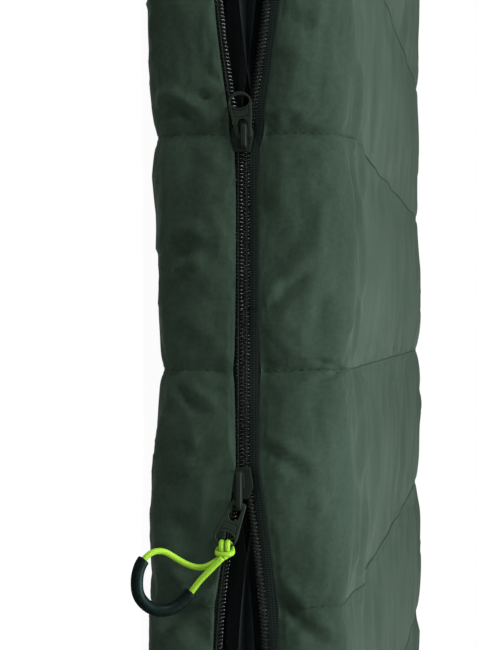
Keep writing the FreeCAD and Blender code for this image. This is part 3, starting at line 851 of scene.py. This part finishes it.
def keep_section(layer, move):
    """Take out most of each channel's average swelling, so that its folds and wrinkles stay."""
    nx, ny = layer.nx, layer.ny
    grid = move[: nx * ny].reshape(nx, ny, 3)
    loop = len(layer.loop)
    rings = move[nx * ny :].reshape(-1, loop, 3)
    far = nx + ny - 2 + np.arange(nx)[::-1]
    edges = [0] + [int(np.argmin(np.abs(layer.xs - seam))) for seam in SEAMS] + [nx - 1]
    for a, b in zip(edges, edges[1:]):
        span = slice(a, b + 1)
        x = layer.xs[span]
        t = (x - x[0]) / (x[-1] - x[0])
        swell = np.sin(math.pi * t) ** 0.5
        weight = np.gradient(x) / (x[-1] - x[0])
        for block, order in ((grid[span], None), (rings, np.arange(a, b + 1)), (rings, far[span])):
            part = block if order is None else block[:, order].transpose(1, 0, 2)
            mean = np.tensordot(weight, part, 1) / float(weight @ swell)
            fixed = part - SWELL_REMOVED * swell[:, None, None] * mean[None]
            if order is None:
                grid[span] = fixed
            else:
                rings[:, order] = fixed.transpose(1, 0, 2)
    return np.vstack([grid.reshape(-1, 3), rings.reshape(-1, 3)])


# Places along the zip side, (x, z, radius), where a slider, tab or cord presses the cloth in.
PRESSED = [
    (HEAD_X + 0.002, ZIP_Z, 0.012),
    (HEAD_X + 0.018, ZIP_Z - 0.005, 0.010),
    (HEAD_X + 0.028, ZIP_Z - 0.008, 0.010),
    (HEAD_X + 0.036, ZIP_Z - 0.013, 0.009),
    (HEAD_X + 0.040, ZIP_Z - 0.020, 0.008),
    (FOOT_X, ZIP_Z, 0.012),
    (FOOT_X - 0.016, ZIP_Z, 0.011),
]


def simulate(layer, verts, faces, pressure, slack):
    """Let the cloth between the seams blow out and buckle. Seams and lips hold still."""
    obj = new_mesh("cloth_run", verts, faces)
    x = verts[:, 0]
    share = ring_share(layer)
    held = (seam_distance(x) < 0.0008) | (share > 0.86)
    group = obj.vertex_groups.new(name="held")
    group.add([int(i) for i in np.nonzero(held)[0]], 1.0, "REPLACE")
    cloth = obj.modifiers.new("cloth", "CLOTH")
    setup = cloth.settings
    setup.quality = 3
    setup.mass = 0.12
    setup.tension_stiffness = 12
    setup.compression_stiffness = 8
    setup.shear_stiffness = 4
    setup.bending_stiffness = 0.08
    setup.air_damping = 2.0
    setup.vertex_group_mass = "held"
    setup.use_pressure = True
    setup.uniform_pressure_force = pressure
    setup.shrink_min = -slack
    setup.effector_weights.gravity = 0
    cloth.collision_settings.use_collision = False
    scene = bpy.context.scene
    cloth.point_cache.frame_start = 1
    cloth.point_cache.frame_end = SIM_FRAMES
    for frame_number in range(1, SIM_FRAMES + 1):
        scene.frame_set(frame_number)
    shape = obj.evaluated_get(bpy.context.evaluated_depsgraph_get()).to_mesh()
    out = np.empty(len(shape.vertices) * 3)
    shape.vertices.foreach_get("co", out)
    out = out.reshape(-1, 3)
    bpy.data.objects.remove(obj)
    scene.frame_set(1)
    move = keep_section(layer, out - verts)
    size = np.linalg.norm(move, axis=1)
    calm = 0.24 + 0.2 * smooth(share / 0.25)
    move *= calm[:, None]
    size *= calm
    limit = SIM_CAP * (1 - smooth((share - 0.6) / 0.26) * 0.8)
    scale = limit * np.tanh(size / limit) / np.maximum(size, 1e-9)
    moved = verts + move * scale[:, None]
    moved[:, 2] = np.maximum(moved[:, 2], 0.0002)
    return moved


def make_shell(name, profile, level, up, seed, creases):
    fine = 64
    layer = Layer(columns(fine, 12), rows(0.0028, 0.011), catmull(profile, 3), level, up)
    faces = layer.faces()
    verts = fill_channels(layer, layer.verts, faces, seed)
    verts = simulate(layer, verts, faces, SIM_PRESSURE, SIM_SLACK)
    verts = wrinkle(layer, verts, faces, seed, creases)
    return layer, verts, new_mesh(name, verts, faces, layer.arc)


def make_lining(name, profile, level, up, seed):
    """The lining faces the sleeper: flat quilted cloth with a rim that rises to the lip."""
    layer = Layer(columns(16, 8), rows(0.008, 0.016), catmull(profile[::-1], 3), level, up)
    faces = layer.faces()
    verts = layer.verts.copy()
    d = seam_distance(verts[:, 0])
    wave = lumps(np.column_stack([layer.arc, np.full(len(verts), seed)]), 0.06, seed)
    sink = 1.6 * dent(d, 0.009) + 0.4 * wave
    away = 1 if up else -1
    inner = np.abs(verts[:, 1]) < HALF_Y - 0.02
    verts[:, 2] += np.where(inner, away * (0.6 - sink) * MM, 0)
    return new_mesh(name, verts, faces, layer.arc)


bottom_layer, bottom_verts, bottom_shell = make_shell(
    "bottom_shell_cloth", BOTTOM_PROFILE, 0.0, False, 3, LOWER_CREASES
)
top_layer, top_verts, top_shell = make_shell(
    "top_shell_cloth", TOP_PROFILE, TOP_FACE, True, 11, UPPER_CREASES
)
for obj, side_name in ((bottom_shell, "bottom"), (top_shell, "top")):
    dress(obj, SHELL)
    attach(obj, side_name + "_quilt", "shell_fabric", side_name + "_shell")

bottom_lining = make_lining("bottom_lining_cloth", BOTTOM_LINING_PROFILE, ZIP_Z - 0.006, True, 5)
top_lining = make_lining("top_lining_cloth", TOP_LINING_PROFILE, ZIP_Z + 0.006, False, 6)
for obj, side_name in ((bottom_lining, "bottom"), (top_lining, "top")):
    dress(obj, LINING)
    attach(obj, side_name + "_quilt", "lining_fabric", side_name + "_lining")


def make_filling(name, low, high, body):
    """One batt for each channel: a pillow of loose fibre that stops short of its seams."""
    edges = [-HALF_X + 0.012] + SEAMS + [HALF_X - 0.012]
    middle, half = (low + high) / 2, (high - low) / 2
    verts, faces = [], []
    around, along = 20, 14
    for a, b in zip(edges, edges[1:]):
        faces += skin(len(verts), around, along + 1)
        cx, hx = (a + b) / 2, (b - a) / 2 - 0.004
        for j in range(along + 1):
            y = -HALF_Y + 0.010 + (2 * HALF_Y - 0.020) * j / along
            taper = 0.35 + 0.65 * math.sin(math.pi * min(j, along - j, 3) / 6)
            for k in range(around):
                w = 2 * math.pi * k / around
                ex = math.copysign(abs(math.cos(w)) ** 0.55, math.cos(w))
                ez = math.copysign(abs(math.sin(w)) ** 0.75, math.sin(w))
                verts.append((cx + hx * ex, y, middle + half * ez * taper))
    obj = new_mesh(name, verts, faces)
    dress(obj, BATTING)
    attach(obj, body, "filling", name.replace("_batting", "_filling"))


make_filling("bottom_batting", 0.008, ZIP_Z - 0.010, "bottom_quilt")
make_filling("top_batting", ZIP_Z + 0.010, TOP_FACE - 0.008, "top_quilt")


def make_stitches(name, layer, verts, body):
    """A row of short thread stitches in the bottom of every seam, each end pulled into the cloth."""
    normal = normals_of(verts, layer.faces())
    out_verts, out_faces = [], []
    length, gap, radius = 0.0030, 0.0013, 0.00028
    across_seam = np.array((1.0, 0.0, 0.0))
    for seam in SEAMS:
        idx = layer.seam_line(seam)
        pts, nrm = verts[idx], normal[idx]
        s = lengths(pts)
        at = 0.004
        while at + length < s[-1] - 0.004:
            q = np.array([at, at + length * 0.2, at + length * 0.8, at + length])
            centre = np.stack([np.interp(q, s, pts[:, c]) for c in range(3)], 1)
            lift = np.stack([np.interp(q, s, nrm[:, c]) for c in range(3)], 1)
            centre += lift * np.array([-0.2, 0.28, 0.28, -0.2])[:, None] * MM
            out_faces += skin(len(out_verts), 4, len(q))
            for c, n in zip(centre, lift):
                for dx, dn in ((1, 0), (0, 1), (-1, 0), (0, -1)):
                    out_verts.append(c + radius * (dx * across_seam + dn * n))
            at += length + gap
    obj = new_mesh(name, out_verts, out_faces)
    dress(obj, THREAD)
    return attach(obj, body, "thread", name.replace("_threads", ""))


make_stitches("bottom_stitching_threads", bottom_layer, bottom_verts, "bottom_quilt")
make_stitches("top_stitching_threads", top_layer, top_verts, "top_quilt")


# ---- far side panel: the strip of shell cloth that joins the layers where the bag folds

def make_far_panel():
    low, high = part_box("far_side_panel")
    xs = columns(14, 10)
    xs = xs[(xs > low.x - 1e-6) & (xs < high.x + 1e-6)]
    count = 28
    verts, uv = [], []
    for x in xs:
        pinch = 1.6 * dent(seam_distance(x), 0.010)
        for k in range(count):
            t = k / (count - 1)
            z = low.z - 0.004 + (high.z - low.z + 0.008) * t
            tuck = abs(2 * t - 1) ** 6 * 9.0
            bulge = 1.2 * math.sin(math.pi * t) + 0.5 * noise.noise(Vector((x * 40, t * 3, 2)))
            verts.append((x, HALF_Y + 0.0064 + (bulge - pinch * 0.6 - tuck) * MM, z))
            uv.append((x, z))
    faces = []
    for i in range(len(xs) - 1):
        for k in range(count - 1):
            a, b = i * count + k, (i + 1) * count + k
            faces.append((a, a + 1, b + 1, b))
    obj = new_mesh("far_side_cloth", verts, faces, uv)
    thick = obj.modifiers.new("thick", "SOLIDIFY")
    thick.thickness = 0.0012
    bpy.context.view_layer.objects.active = obj
    bpy.ops.object.modifier_apply(modifier="thick")
    dress(obj, SHELL)
    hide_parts("far_side_panel")
    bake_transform(obj)


make_far_panel()


# ---- draft tube behind the zip

def make_draft_tube():
    low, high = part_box("draft_tube")
    stretches = ((low.x, VIEW_LOW, 0.012), (VIEW_LOW, VIEW_HIGH, 0.003), (VIEW_HIGH, high.x, 0.012))
    xs = np.concatenate([np.arange(*stretch) for stretch in stretches])
    angles = np.linspace(0, 2 * math.pi, 28, endpoint=False)
    rings = []
    for x in xs:
        sag = 0.6 * noise.noise(Vector((x * 22, 0, 9)))
        ring = []
        for w in angles:
            fold = 0.5 * noise.noise(Vector((x * 35, w * 1.3, 4)))
            flat = abs(math.sin(w)) ** 0.8 * math.copysign(1, math.sin(w))
            y = (low.y + high.y) / 2 - 0.001 + (8.2 + fold) * MM * math.cos(w)
            z = ZIP_Z + 0.0006 + (11.5 + 1.5 * fold + 0.8 * sag) * MM * flat
            ring.append((x, y, z))
        rings.append(np.array(ring))
    obj = rings_mesh("draft_tube_cloth", rings)
    dress(obj, LINING)
    attach(obj, "top_quilt", "lining_fabric", "draft_tube")


make_draft_tube()


# ---- zip rows

PITCH = 0.00184
COIL_STEPS = 20
SEWN_AT = 2.1
TAPE_STEP = 0.003


def row_path(end, side, spacing):
    """Stations of one row: (point on the closed line, outward normal, parting) from the middle out."""
    points, normals = [], []
    if end == "head":
        for x in np.arange(ROW_MIDDLE, ROW_END, spacing):
            points.append((x, ZIP_Y))
            normals.append((0, -1))
    else:
        turn = -HALF_X + CORNER
        for x in np.arange(ROW_MIDDLE, turn, -spacing):
            points.append((x, ZIP_Y))
            normals.append((0, -1))
        steps = int(CORNER * math.pi / 2 / spacing)
        for k in range(steps):
            a = math.pi / 2 * k / steps
            normals.append((-math.sin(a), -math.cos(a)))
            points.append((turn - CORNER * math.sin(a), -HALF_Y + CORNER - CORNER * math.cos(a)))
        for y in np.arange(-HALF_Y + CORNER, FOOT_ROW_END, spacing):
            points.append((-HALF_X, y))
            normals.append((-1, 0))
    points = np.array(points)
    gape = side_parting(points[:, 0], side)
    return points, np.array(normals, float), gape


def make_coil(name, end, side):
    """The wound filament of one row, as one long flattened helix. side is 1 above and -1 below."""
    points, normals, gape = row_path(end, side, PITCH / COIL_STEPS)
    x, y = points.T
    in_view = (x > VIEW_LOW - 0.02) & (x < VIEW_HIGH + 0.02) & (y < 0)
    number = np.arange(len(points))
    keep = number[in_view | (number % 2 == 0)]
    phase = 0.5 if side > 0 else 0.0
    w = 2 * math.pi * (keep / COIL_STEPS + phase)
    across = np.cos(w)
    deep = np.sin(w)
    e = 1.52 - 1.92 * np.sign(across) * np.abs(across) ** 0.72
    n = 0.95 * np.sign(deep) * np.abs(deep) ** 0.62
    front = np.clip(deep, 0, 1)
    n -= front * (0.40 * dent(e - SEWN_AT, 0.42) + 0.35 * smooth((0.9 - e) / 1.2))
    xy = points[keep] + normals[keep] * (n * MM)[:, None]
    z = ZIP_Z + side * (gape[keep] + e * MM)
    path = np.column_stack([xy, z])
    head = np.clip((0.3 - e) / 0.7, 0, 1)
    radius = (0.36 + 0.10 * head) * MM
    return tube(name, path, radius, 7)


def make_coil_sewing(name, end, side):
    """The thread that sews a coil to its tape, drawn down into the middle of every turn."""
    points, normals, gape = row_path(end, side, PITCH / 4)
    turn = np.arange(len(points)) / 4
    n = 0.92 + 0.12 * np.cos(2 * math.pi * turn)
    xy = points + normals * (n * MM)[:, None]
    z = ZIP_Z + side * (gape + SEWN_AT * MM)
    return tube(name, np.column_stack([xy, z]), 0.22 * MM, 6)


def make_tape(name, end, side):
    """The knitted tape behind a coil, out to where the shell's lip covers it."""
    points, normals, gape = row_path(end, side, TAPE_STEP)
    profile = catmull([(0.9, -1.42), (3.4, -1.40), (5.2, -1.0), (7.5, -0.4), (10, -0.6), (13.4, -1.6)], 3)
    thick = 0.55
    rings = []
    for p, nrm, g in zip(points, normals, gape):
        ripple = 0.12 * noise.noise(Vector((p[0] * 130, p[1] * 130, side * 3.0)))
        front = [(e, n + ripple * min(e / 6, 1)) for e, n in profile]
        back = [(e, n - thick) for e, n in front[::-1]]
        ring = [(*(p + nrm * n * MM), ZIP_Z + side * (g + e * MM)) for e, n in front + back]
        rings.append(np.array(ring))
    width = np.concatenate([profile, profile[::-1]])[:, 0] * MM
    uv = [(i * TAPE_STEP, w) for i in range(len(rings)) for w in width]
    return rings_mesh(name, rings, uv)


def make_stop(name, node, end):
    """A crimped end stop: a small rounded clip over the last turns of the coil."""
    low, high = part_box(node)
    size = high - low
    along, depth = (size.x, size.y) if end == "head" else (size.y, size.x)
    r = 0.0009
    cx, cy = along / 2 - r, size.z / 2 - r
    corners = [(cx, cy, 0), (-cx, cy, 90), (-cx, -cy, 180), (cx, -cy, 270)]
    outline = [p for x, y, a in corners for p in arc(x, y, r, r, a, a + 90, 5)]
    body = plate(name, outline, [], depth, 0.0004, 3)
    narrow = [(x * 0.55, y * 0.8) for x, y in outline]
    ridge = plate(name + "_ridge", narrow, [], depth + 0.0005, 0.0003, 2)
    obj = join(name, [body, ridge])
    turn = Matrix.Rotation(math.radians(90), 4, "X")
    if end == "foot":
        turn = Matrix.Rotation(math.radians(-90), 4, "Z") @ turn
    obj.data.transform(turn)
    obj.data.transform(Matrix.Translation((low + high) / 2))
    shade_by_angle(obj)
    return obj


for side_name, side, quilt in (("upper", 1, "top_quilt"), ("lower", -1, "bottom_quilt")):
    for end, start_x, bend in (("head", HEAD_BEND_X, HEAD_BEND), ("foot", FOOT_BEND_X, -FOOT_BEND)):
        row = f"{side_name}_{end}"
        coil = make_coil(row + "_coil_filament", end, side)
        dress(coil, COIL)
        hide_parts(row + "_coil")
        tape = make_tape(row + "_tape_knit", end, side)
        dress(tape, TAPE)
        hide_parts(row + "_tape")
        sewing = make_coil_sewing(row + "_coil_sewing", end, side)
        dress(sewing, THREAD)
        for piece in (coil, tape, sewing):
            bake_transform(piece)
        stop = make_stop(row + "_stop_clip", row + "_stop", end)
        dress(stop, SLIDER_METAL)
        attach(stop, row + "_row", "end_stop_metal", row + "_stop")


# ---- sliders


def stand(obj):
    """Turn a plate's plane from XY to the zip plane, XZ, with its face towards the viewer."""
    obj.data.transform(Matrix.Rotation(math.radians(90), 4, "X"))
    return obj


def mm(points):
    return [(x * MM, y * MM) for x, y in points]


BRIDGE_OFFSET = 0.0012


def make_slider(name, centre_x, turn, bridge_front):
    """Die-cast slider: shield plates, rolled side flanges, the post, and a long arched bridge."""
    half = SLIDER_HALF / MM
    upper = catmull(
        [(-half, 3.7), (-half + 0.6, 4.3), (-3.5, 4.8), (0.2, 5.4), (2.6, 5.3), (5.0, 4.2),
         (half - 0.3, 2.7), (half, 1.6)], 4)
    outline = [tuple(p) for p in upper] + [(x, -z) for x, z in upper[::-1]]
    parts = []

    def flat_part(part, shape, depth, thickness, bevel, resolution):
        """Add a plate that lies along the zip, its middle at the given depth."""
        made = stand(plate(f"{name}_{part}", mm(shape), [], thickness, bevel, resolution))
        made.data.transform(Matrix.Translation((0, depth, 0)))
        parts.append(made)

    flat_part("front", outline, -0.0023, 0.0016, 0.00045, 3)
    flat_part("back", outline, 0.0029, 0.0014, 0.0004, 3)
    rail = [(x, z) for x, z in upper if x < 3.4]
    band = rail + [(x, z - 0.95) for x, z in rail[::-1]]
    for sign in (1, -1):
        flat_part(f"flange_{sign}", [(x, sign * z) for x, z in band], -0.0004, 0.0026, 0.0003, 2)
    wedge = [(4.6, 0.3), (half - 0.2, 0.5), (half - 0.2, -0.5), (4.6, -0.3)]
    flat_part("post", wedge, 0.0003, 0.0045, 0.0001, 1)

    rise = 8.6
    tip = bridge_front
    outer = catmull(
        [(-6.6, 2.9), (-6.5, 5.4), (-5.6, 7.6), (-3.6, rise - 0.15), (0, rise), (tip - 4.2, rise - 0.1),
         (tip - 1.6, rise - 0.6), (tip - 0.2, 6.6), (tip, 4.8), (tip - 0.5, 3.5)], 4)
    under = [(tip - 1.2, 3.0), (min(tip - 2, half - 1.0), 2.9)]
    outline = [tuple(p) for p in outer] + under
    window = catmull(
        [(-4.9, 4.0), (-4.9, 5.6), (-4.2, 6.8), (-2.6, 7.2), (0, 7.25), (tip - 4.0, 7.2),
         (tip - 2.2, 6.7), (tip - 1.5, 5.6), (tip - 1.6, 4.5), (tip - 2.2, 4.1), (0, 4.05)], 4)
    bridge = plate(name + "_bridge", mm(outline), [mm(window)], 0.0030, 0.0006, 3)
    bridge.data.transform(Matrix.Scale(-1, 4, (0, 1, 0)))
    bridge.data.flip_normals()
    bridge.data.transform(Matrix.Translation((0, 0, -BRIDGE_OFFSET)))
    parts.append(bridge)
    raised = [(-5.0, 1.0), (-1.0, 1.25), (2.2, 1.1), (2.2, -1.1), (-1.0, -1.25), (-5.0, -1.0)]
    flat_part("lock", raised, -0.0034, 0.0008, 0.0002, 2)
    obj = join(name, parts)
    obj.data.transform(Matrix.Rotation(math.radians(turn), 4, "Y"))
    obj.data.transform(Matrix.Translation((centre_x, ZIP_Y, ZIP_Z)))
    return shade_by_angle(obj)


head_slider = make_slider("head_slider_casting", HEAD_X, 0, 13.2)
foot_slider = make_slider("foot_slider_casting", FOOT_X, 180, 5.9)
for obj, node in ((head_slider, "head_slider"), (foot_slider, "foot_slider")):
    dress(obj, SLIDER_METAL)
    attach(obj, node + "_body", "slider_metal", node)


# ---- pull tabs

TAB_LENGTH = 21.8
TAB_TILT = math.radians(22)
FOOT_TAB_TILT = math.radians(6.8)
HEAD_PIVOT = Vector((HEAD_X + 0.010, ZIP_Y - 0.0056, ZIP_Z - 0.0012))
FOOT_PIVOT = Vector((FOOT_X + 0.0003, ZIP_Y - 0.0056, ZIP_Z + 0.0012))


def make_tab(name, pivot, turn, stretch):
    """A stamped tab: forked at the bridge, a raised rim round a sunk panel, and an oval eye."""
    side = [(-1.1, 2.2), (-0.9, 3.4), (0.2, 3.9), (4, 4.35), (9, 5.0), (13, 5.6), (15.4, 5.85)]
    end = arc(15.6, 0, TAB_LENGTH - 15.6, 5.9, 84, 0, 12)
    upper = [tuple(p) for p in catmull(side, 3)] + end
    outline = upper + [(x, -z) for x, z in upper[::-1][1:]]
    slot = [(1.0, -2.4), (5.6, -2.5)] + arc(5.8, 0, 2.5, 2.5, -90, 90, 10) + [(5.6, 2.5), (1.0, 2.4)]
    eye = arc(16.85, 0, 3.15, 4.75, 0, 360, 36)[:-1]
    dip = [
        (14.6, -4.4), (9.3, -3.35), (9.3, 3.35), (14.6, 4.4), (13.4, 3.2), (12.9, 1.6), (12.75, 0),
        (12.9, -1.6), (13.4, -3.2),
    ]
    rim = plate(name + "_rim", mm(outline), [mm(slot), mm(eye), mm(dip)], 0.0016, 0.0003, 3)
    panel = [
        (13.9, -3.8), (9.6, -3.05), (9.6, 3.05), (13.9, 3.8), (13.0, 2.9), (12.5, 1.5), (12.35, 0),
        (12.5, -1.5), (13.0, -2.9),
    ]
    web = plate(name + "_web", mm(panel), [], 0.0014, 0.0002, 2)
    floor = [(9.0, -3.6), (9.0, 3.6), (15.0, 4.8), (13.2, 2.9), (12.6, 0), (13.2, -2.9), (15.0, -4.8)]
    sole = plate(name + "_sole", mm(floor), [], 0.0006, 0.0001, 1)
    hinge = [(-0.9, 2.9), (0.9, 2.9), (0.9, -2.9), (-0.9, -2.9)]
    bar = plate(name + "_bar", mm(hinge), [], 0.0017, 0.0007, 3)
    obj = join(name, [rim, web, sole, bar])
    obj.data.transform(Matrix.Scale(stretch, 4, (1, 0, 0)))
    stand(obj)
    obj.data.transform(Matrix.Rotation(turn, 4, "Y"))
    obj.data.transform(Matrix.Translation(pivot))
    return shade_by_angle(obj)


head_tab = make_tab("head_tab_stamping", HEAD_PIVOT, TAB_TILT, 1.06)
foot_tab = make_tab("foot_tab_stamping", FOOT_PIVOT, math.pi - FOOT_TAB_TILT, 1.0)
# Lit and shaded copies of one paint: the head tab's is painted lighter and the foot tab's darker.
for obj, node, metal in (
    (head_tab, "head_tab", HEAD_TAB_METAL_LIT),
    (foot_tab, "foot_tab", FOOT_TAB_METAL_SHADED),
):
    dress(obj, metal)
    attach(obj, node + "_body", "tab_metal", node)


# ---- pull loop

CORD_RADIUS = 0.0015
CORD_ROUTE = [
    (0.1496, -0.4276, 0.0414),
    (0.1529, -0.4279, 0.0374),
    (0.1544, -0.4282, 0.0320),
    (0.1529, -0.4296, 0.0263),
    (0.1492, -0.4322, 0.0206),
    (0.1454, -0.4357, 0.0156),
    (0.1452, -0.4394, 0.0106),
    (0.1489, -0.4422, 0.0064),
    (0.1541, -0.4434, 0.0040),
    (0.1606, -0.4436, 0.0033),
    (0.1666, -0.4428, 0.0040),
    (0.1714, -0.4410, 0.0075),
    (0.1744, -0.4383, 0.0127),
    (0.1739, -0.4352, 0.0190),
    (0.1704, -0.4326, 0.0244),
    (0.1654, -0.4312, 0.0284),
    (0.1604, -0.4310, 0.0320),
    (0.1559, -0.4311, 0.0364),
    (0.1489, -0.4304, 0.0434),
]
GRIP_START, GRIP_END = 7, 15
GRIP_RADIUS, GRIP_BORE = 0.00305, 0.00172
KNOT_X, KNOT_Z, KNOT_STRAND = 0.1438, 0.0440, 0.00135

line = smooth_route(CORD_ROUTE)
pull_cord = tube("pull_cord_lime", line, CORD_RADIUS, 16)
dress(pull_cord, LIME)


def on_rim(a, b, w):
    """A point by its place down from the rim of the tab's eye, beside it, and out from it."""
    return Vector((KNOT_X + a * MM, HEAD_PIVOT.y - w * MM, KNOT_Z + b * MM))


def make_knot():
    """A lark's head on the tab's rim: two strands into the eye, and the bight across them."""
    strand = [
        (2.8, 1.3, 1.3), (1.2, 1.4, 2.3), (-0.4, 1.5, 2.5), (-1.7, 1.5, 1.5), (-2.2, 1.5, -0.2),
        (-1.6, 1.7, -1.8), (0.0, 2.5, -2.3), (1.5, 3.3, -1.7), (2.6, 3.7, -0.1), (3.3, 3.5, 1.7),
        (3.6, 2.2, 3.1), (3.7, 0.0, 3.5),
    ]
    other = [(a, -b, w) for a, b, w in strand[:-1]][::-1]
    first = [Vector(line[-1]), on_rim(4.6, 1.2, 1.0)]
    last = [on_rim(4.6, -1.2, 1.0), Vector(line[0])]
    points = first + [on_rim(*p) for p in strand + other] + last
    path = smooth_route([tuple(p) for p in points], 8)
    t = np.linspace(0, 1, len(path))
    neck = smooth(np.minimum(t, 1 - t) * 12)
    return tube("lark_head_knot", path, CORD_RADIUS + (KNOT_STRAND - CORD_RADIUS) * neck, 16)


knot = make_knot()
dress(knot, LIME)


def make_grip():
    """A moulded tube slipped over the cord: round lips at both ends and a bore that shows."""
    places = [np.array(CORD_ROUTE[k]) for k in (GRIP_START, GRIP_END)]
    start, end = (int(np.argmin(np.linalg.norm(line - place, axis=1))) for place in places)
    path = line[start : end + 1]
    _, side, up = frames_along(path)
    angles = np.linspace(0, 2 * math.pi, 28, endpoint=False)
    s = lengths(path)
    lip = 0.0006

    def ring(at, radius):
        centre, one, two = (
            np.array([np.interp(at, s, a[:, c]) for c in range(3)]) for a in (path, side, up)
        )
        return centre + radius * (np.cos(angles)[:, None] * one + np.sin(angles)[:, None] * two)

    total = s[-1]
    rings = [ring(0.006, GRIP_BORE), ring(0.0008, GRIP_BORE), ring(0.0002, GRIP_BORE + 0.0002)]
    for a in np.radians((90, 60, 30, 0)):
        rings.append(ring(lip * (1 - math.sin(a)), GRIP_RADIUS - lip * (1 - math.cos(a))))
    for at in np.arange(lip + 0.0012, total - lip - 0.0008, 0.0012):
        rings.append(ring(at, GRIP_RADIUS))
    for a in np.radians((0, 30, 60, 90)):
        rings.append(ring(total - lip * (1 - math.sin(a)), GRIP_RADIUS - lip * (1 - math.cos(a))))
    rings += [ring(total - 0.0002, GRIP_BORE + 0.0002), ring(total - 0.0008, GRIP_BORE)]
    rings.append(ring(total - 0.006, GRIP_BORE))
    return rings_mesh("grip_tube_rubber", rings, cap=False)


grip = make_grip()
dress(grip, RUBBER)
attach(pull_cord, "pull_loop", "lime_cord", "pull_cord")
attach(knot, "pull_loop", "lime_cord", "cord_knot")
attach(grip, "pull_loop", "grip_rubber", "grip_tube")


# ---- stage, light and camera

WHITE = Nodes("stage_white", (0.08, 0.08, 0.08), 0.9)
WHITE.set(Emission_Color=(1, 1, 1, 1), Emission_Strength=0.96)


def make_floor():
    size = 40.0
    corners = [(-size, -size, 0), (size, -size, 0), (size, size, 0), (-size, size, 0)]
    floor = new_mesh("floor", corners, [(0, 1, 2, 3)], smooth_shading=False)
    dress(floor, WHITE.material)
    floor.visible_glossy = False


def area_light(name, at, target, size, power):
    light = bpy.data.lights.new(name, "AREA")
    light.shape = "RECTANGLE"
    light.size, light.size_y = size
    light.energy = power
    obj = link(name, light)
    obj.location = at
    obj.rotation_mode = "QUATERNION"
    obj.rotation_quaternion = (Vector(target) - Vector(at)).to_track_quat("-Z", "Y")


make_floor()
world = bpy.data.worlds.new("studio")
world.use_nodes = True
world.node_tree.nodes["Background"].inputs["Color"].default_value = (1, 1, 1, 1)
world.node_tree.nodes["Background"].inputs["Strength"].default_value = 0.2
bpy.context.scene.world = world
target = (0.03, ZIP_Y, ZIP_Z)
area_light("key", (-1.7, -1.15, 0.95), target, (0.5, 0.5), 50)
area_light("top", (0.3, -0.65, 2.2), target, (1.6, 1.0), 174)
area_light("glint", (0.25, -1.7, 0.35), target, (0.2, 0.2), 3)

CAMERA_DISTANCE = 1.0
CAMERA_ELEVATION = math.radians(7.4)
VIEW_HEIGHT = 0.3186
VIEW_CENTRE = Vector((0.0358, ZIP_Y, ZIP_Z - 0.0018))
SENSOR = 36.0
camera_data = bpy.data.cameras.new("camera")
camera_data.sensor_width = SENSOR
camera_data.lens = SENSOR * CAMERA_DISTANCE / VIEW_HEIGHT
camera_data.clip_start, camera_data.clip_end = 0.01, 50
camera = link("camera", camera_data)
back = Vector((0, -math.cos(CAMERA_ELEVATION), math.sin(CAMERA_ELEVATION)))
up = Vector((-1, 0, 0))
right = up.cross(back)
camera.matrix_world = Matrix.Translation(VIEW_CENTRE + back * CAMERA_DISTANCE) @ Matrix(
    (right, up, back)
).transposed().to_4x4()
bpy.context.scene.camera = camera
bpy.context.scene.view_settings.view_transform = "Standard"
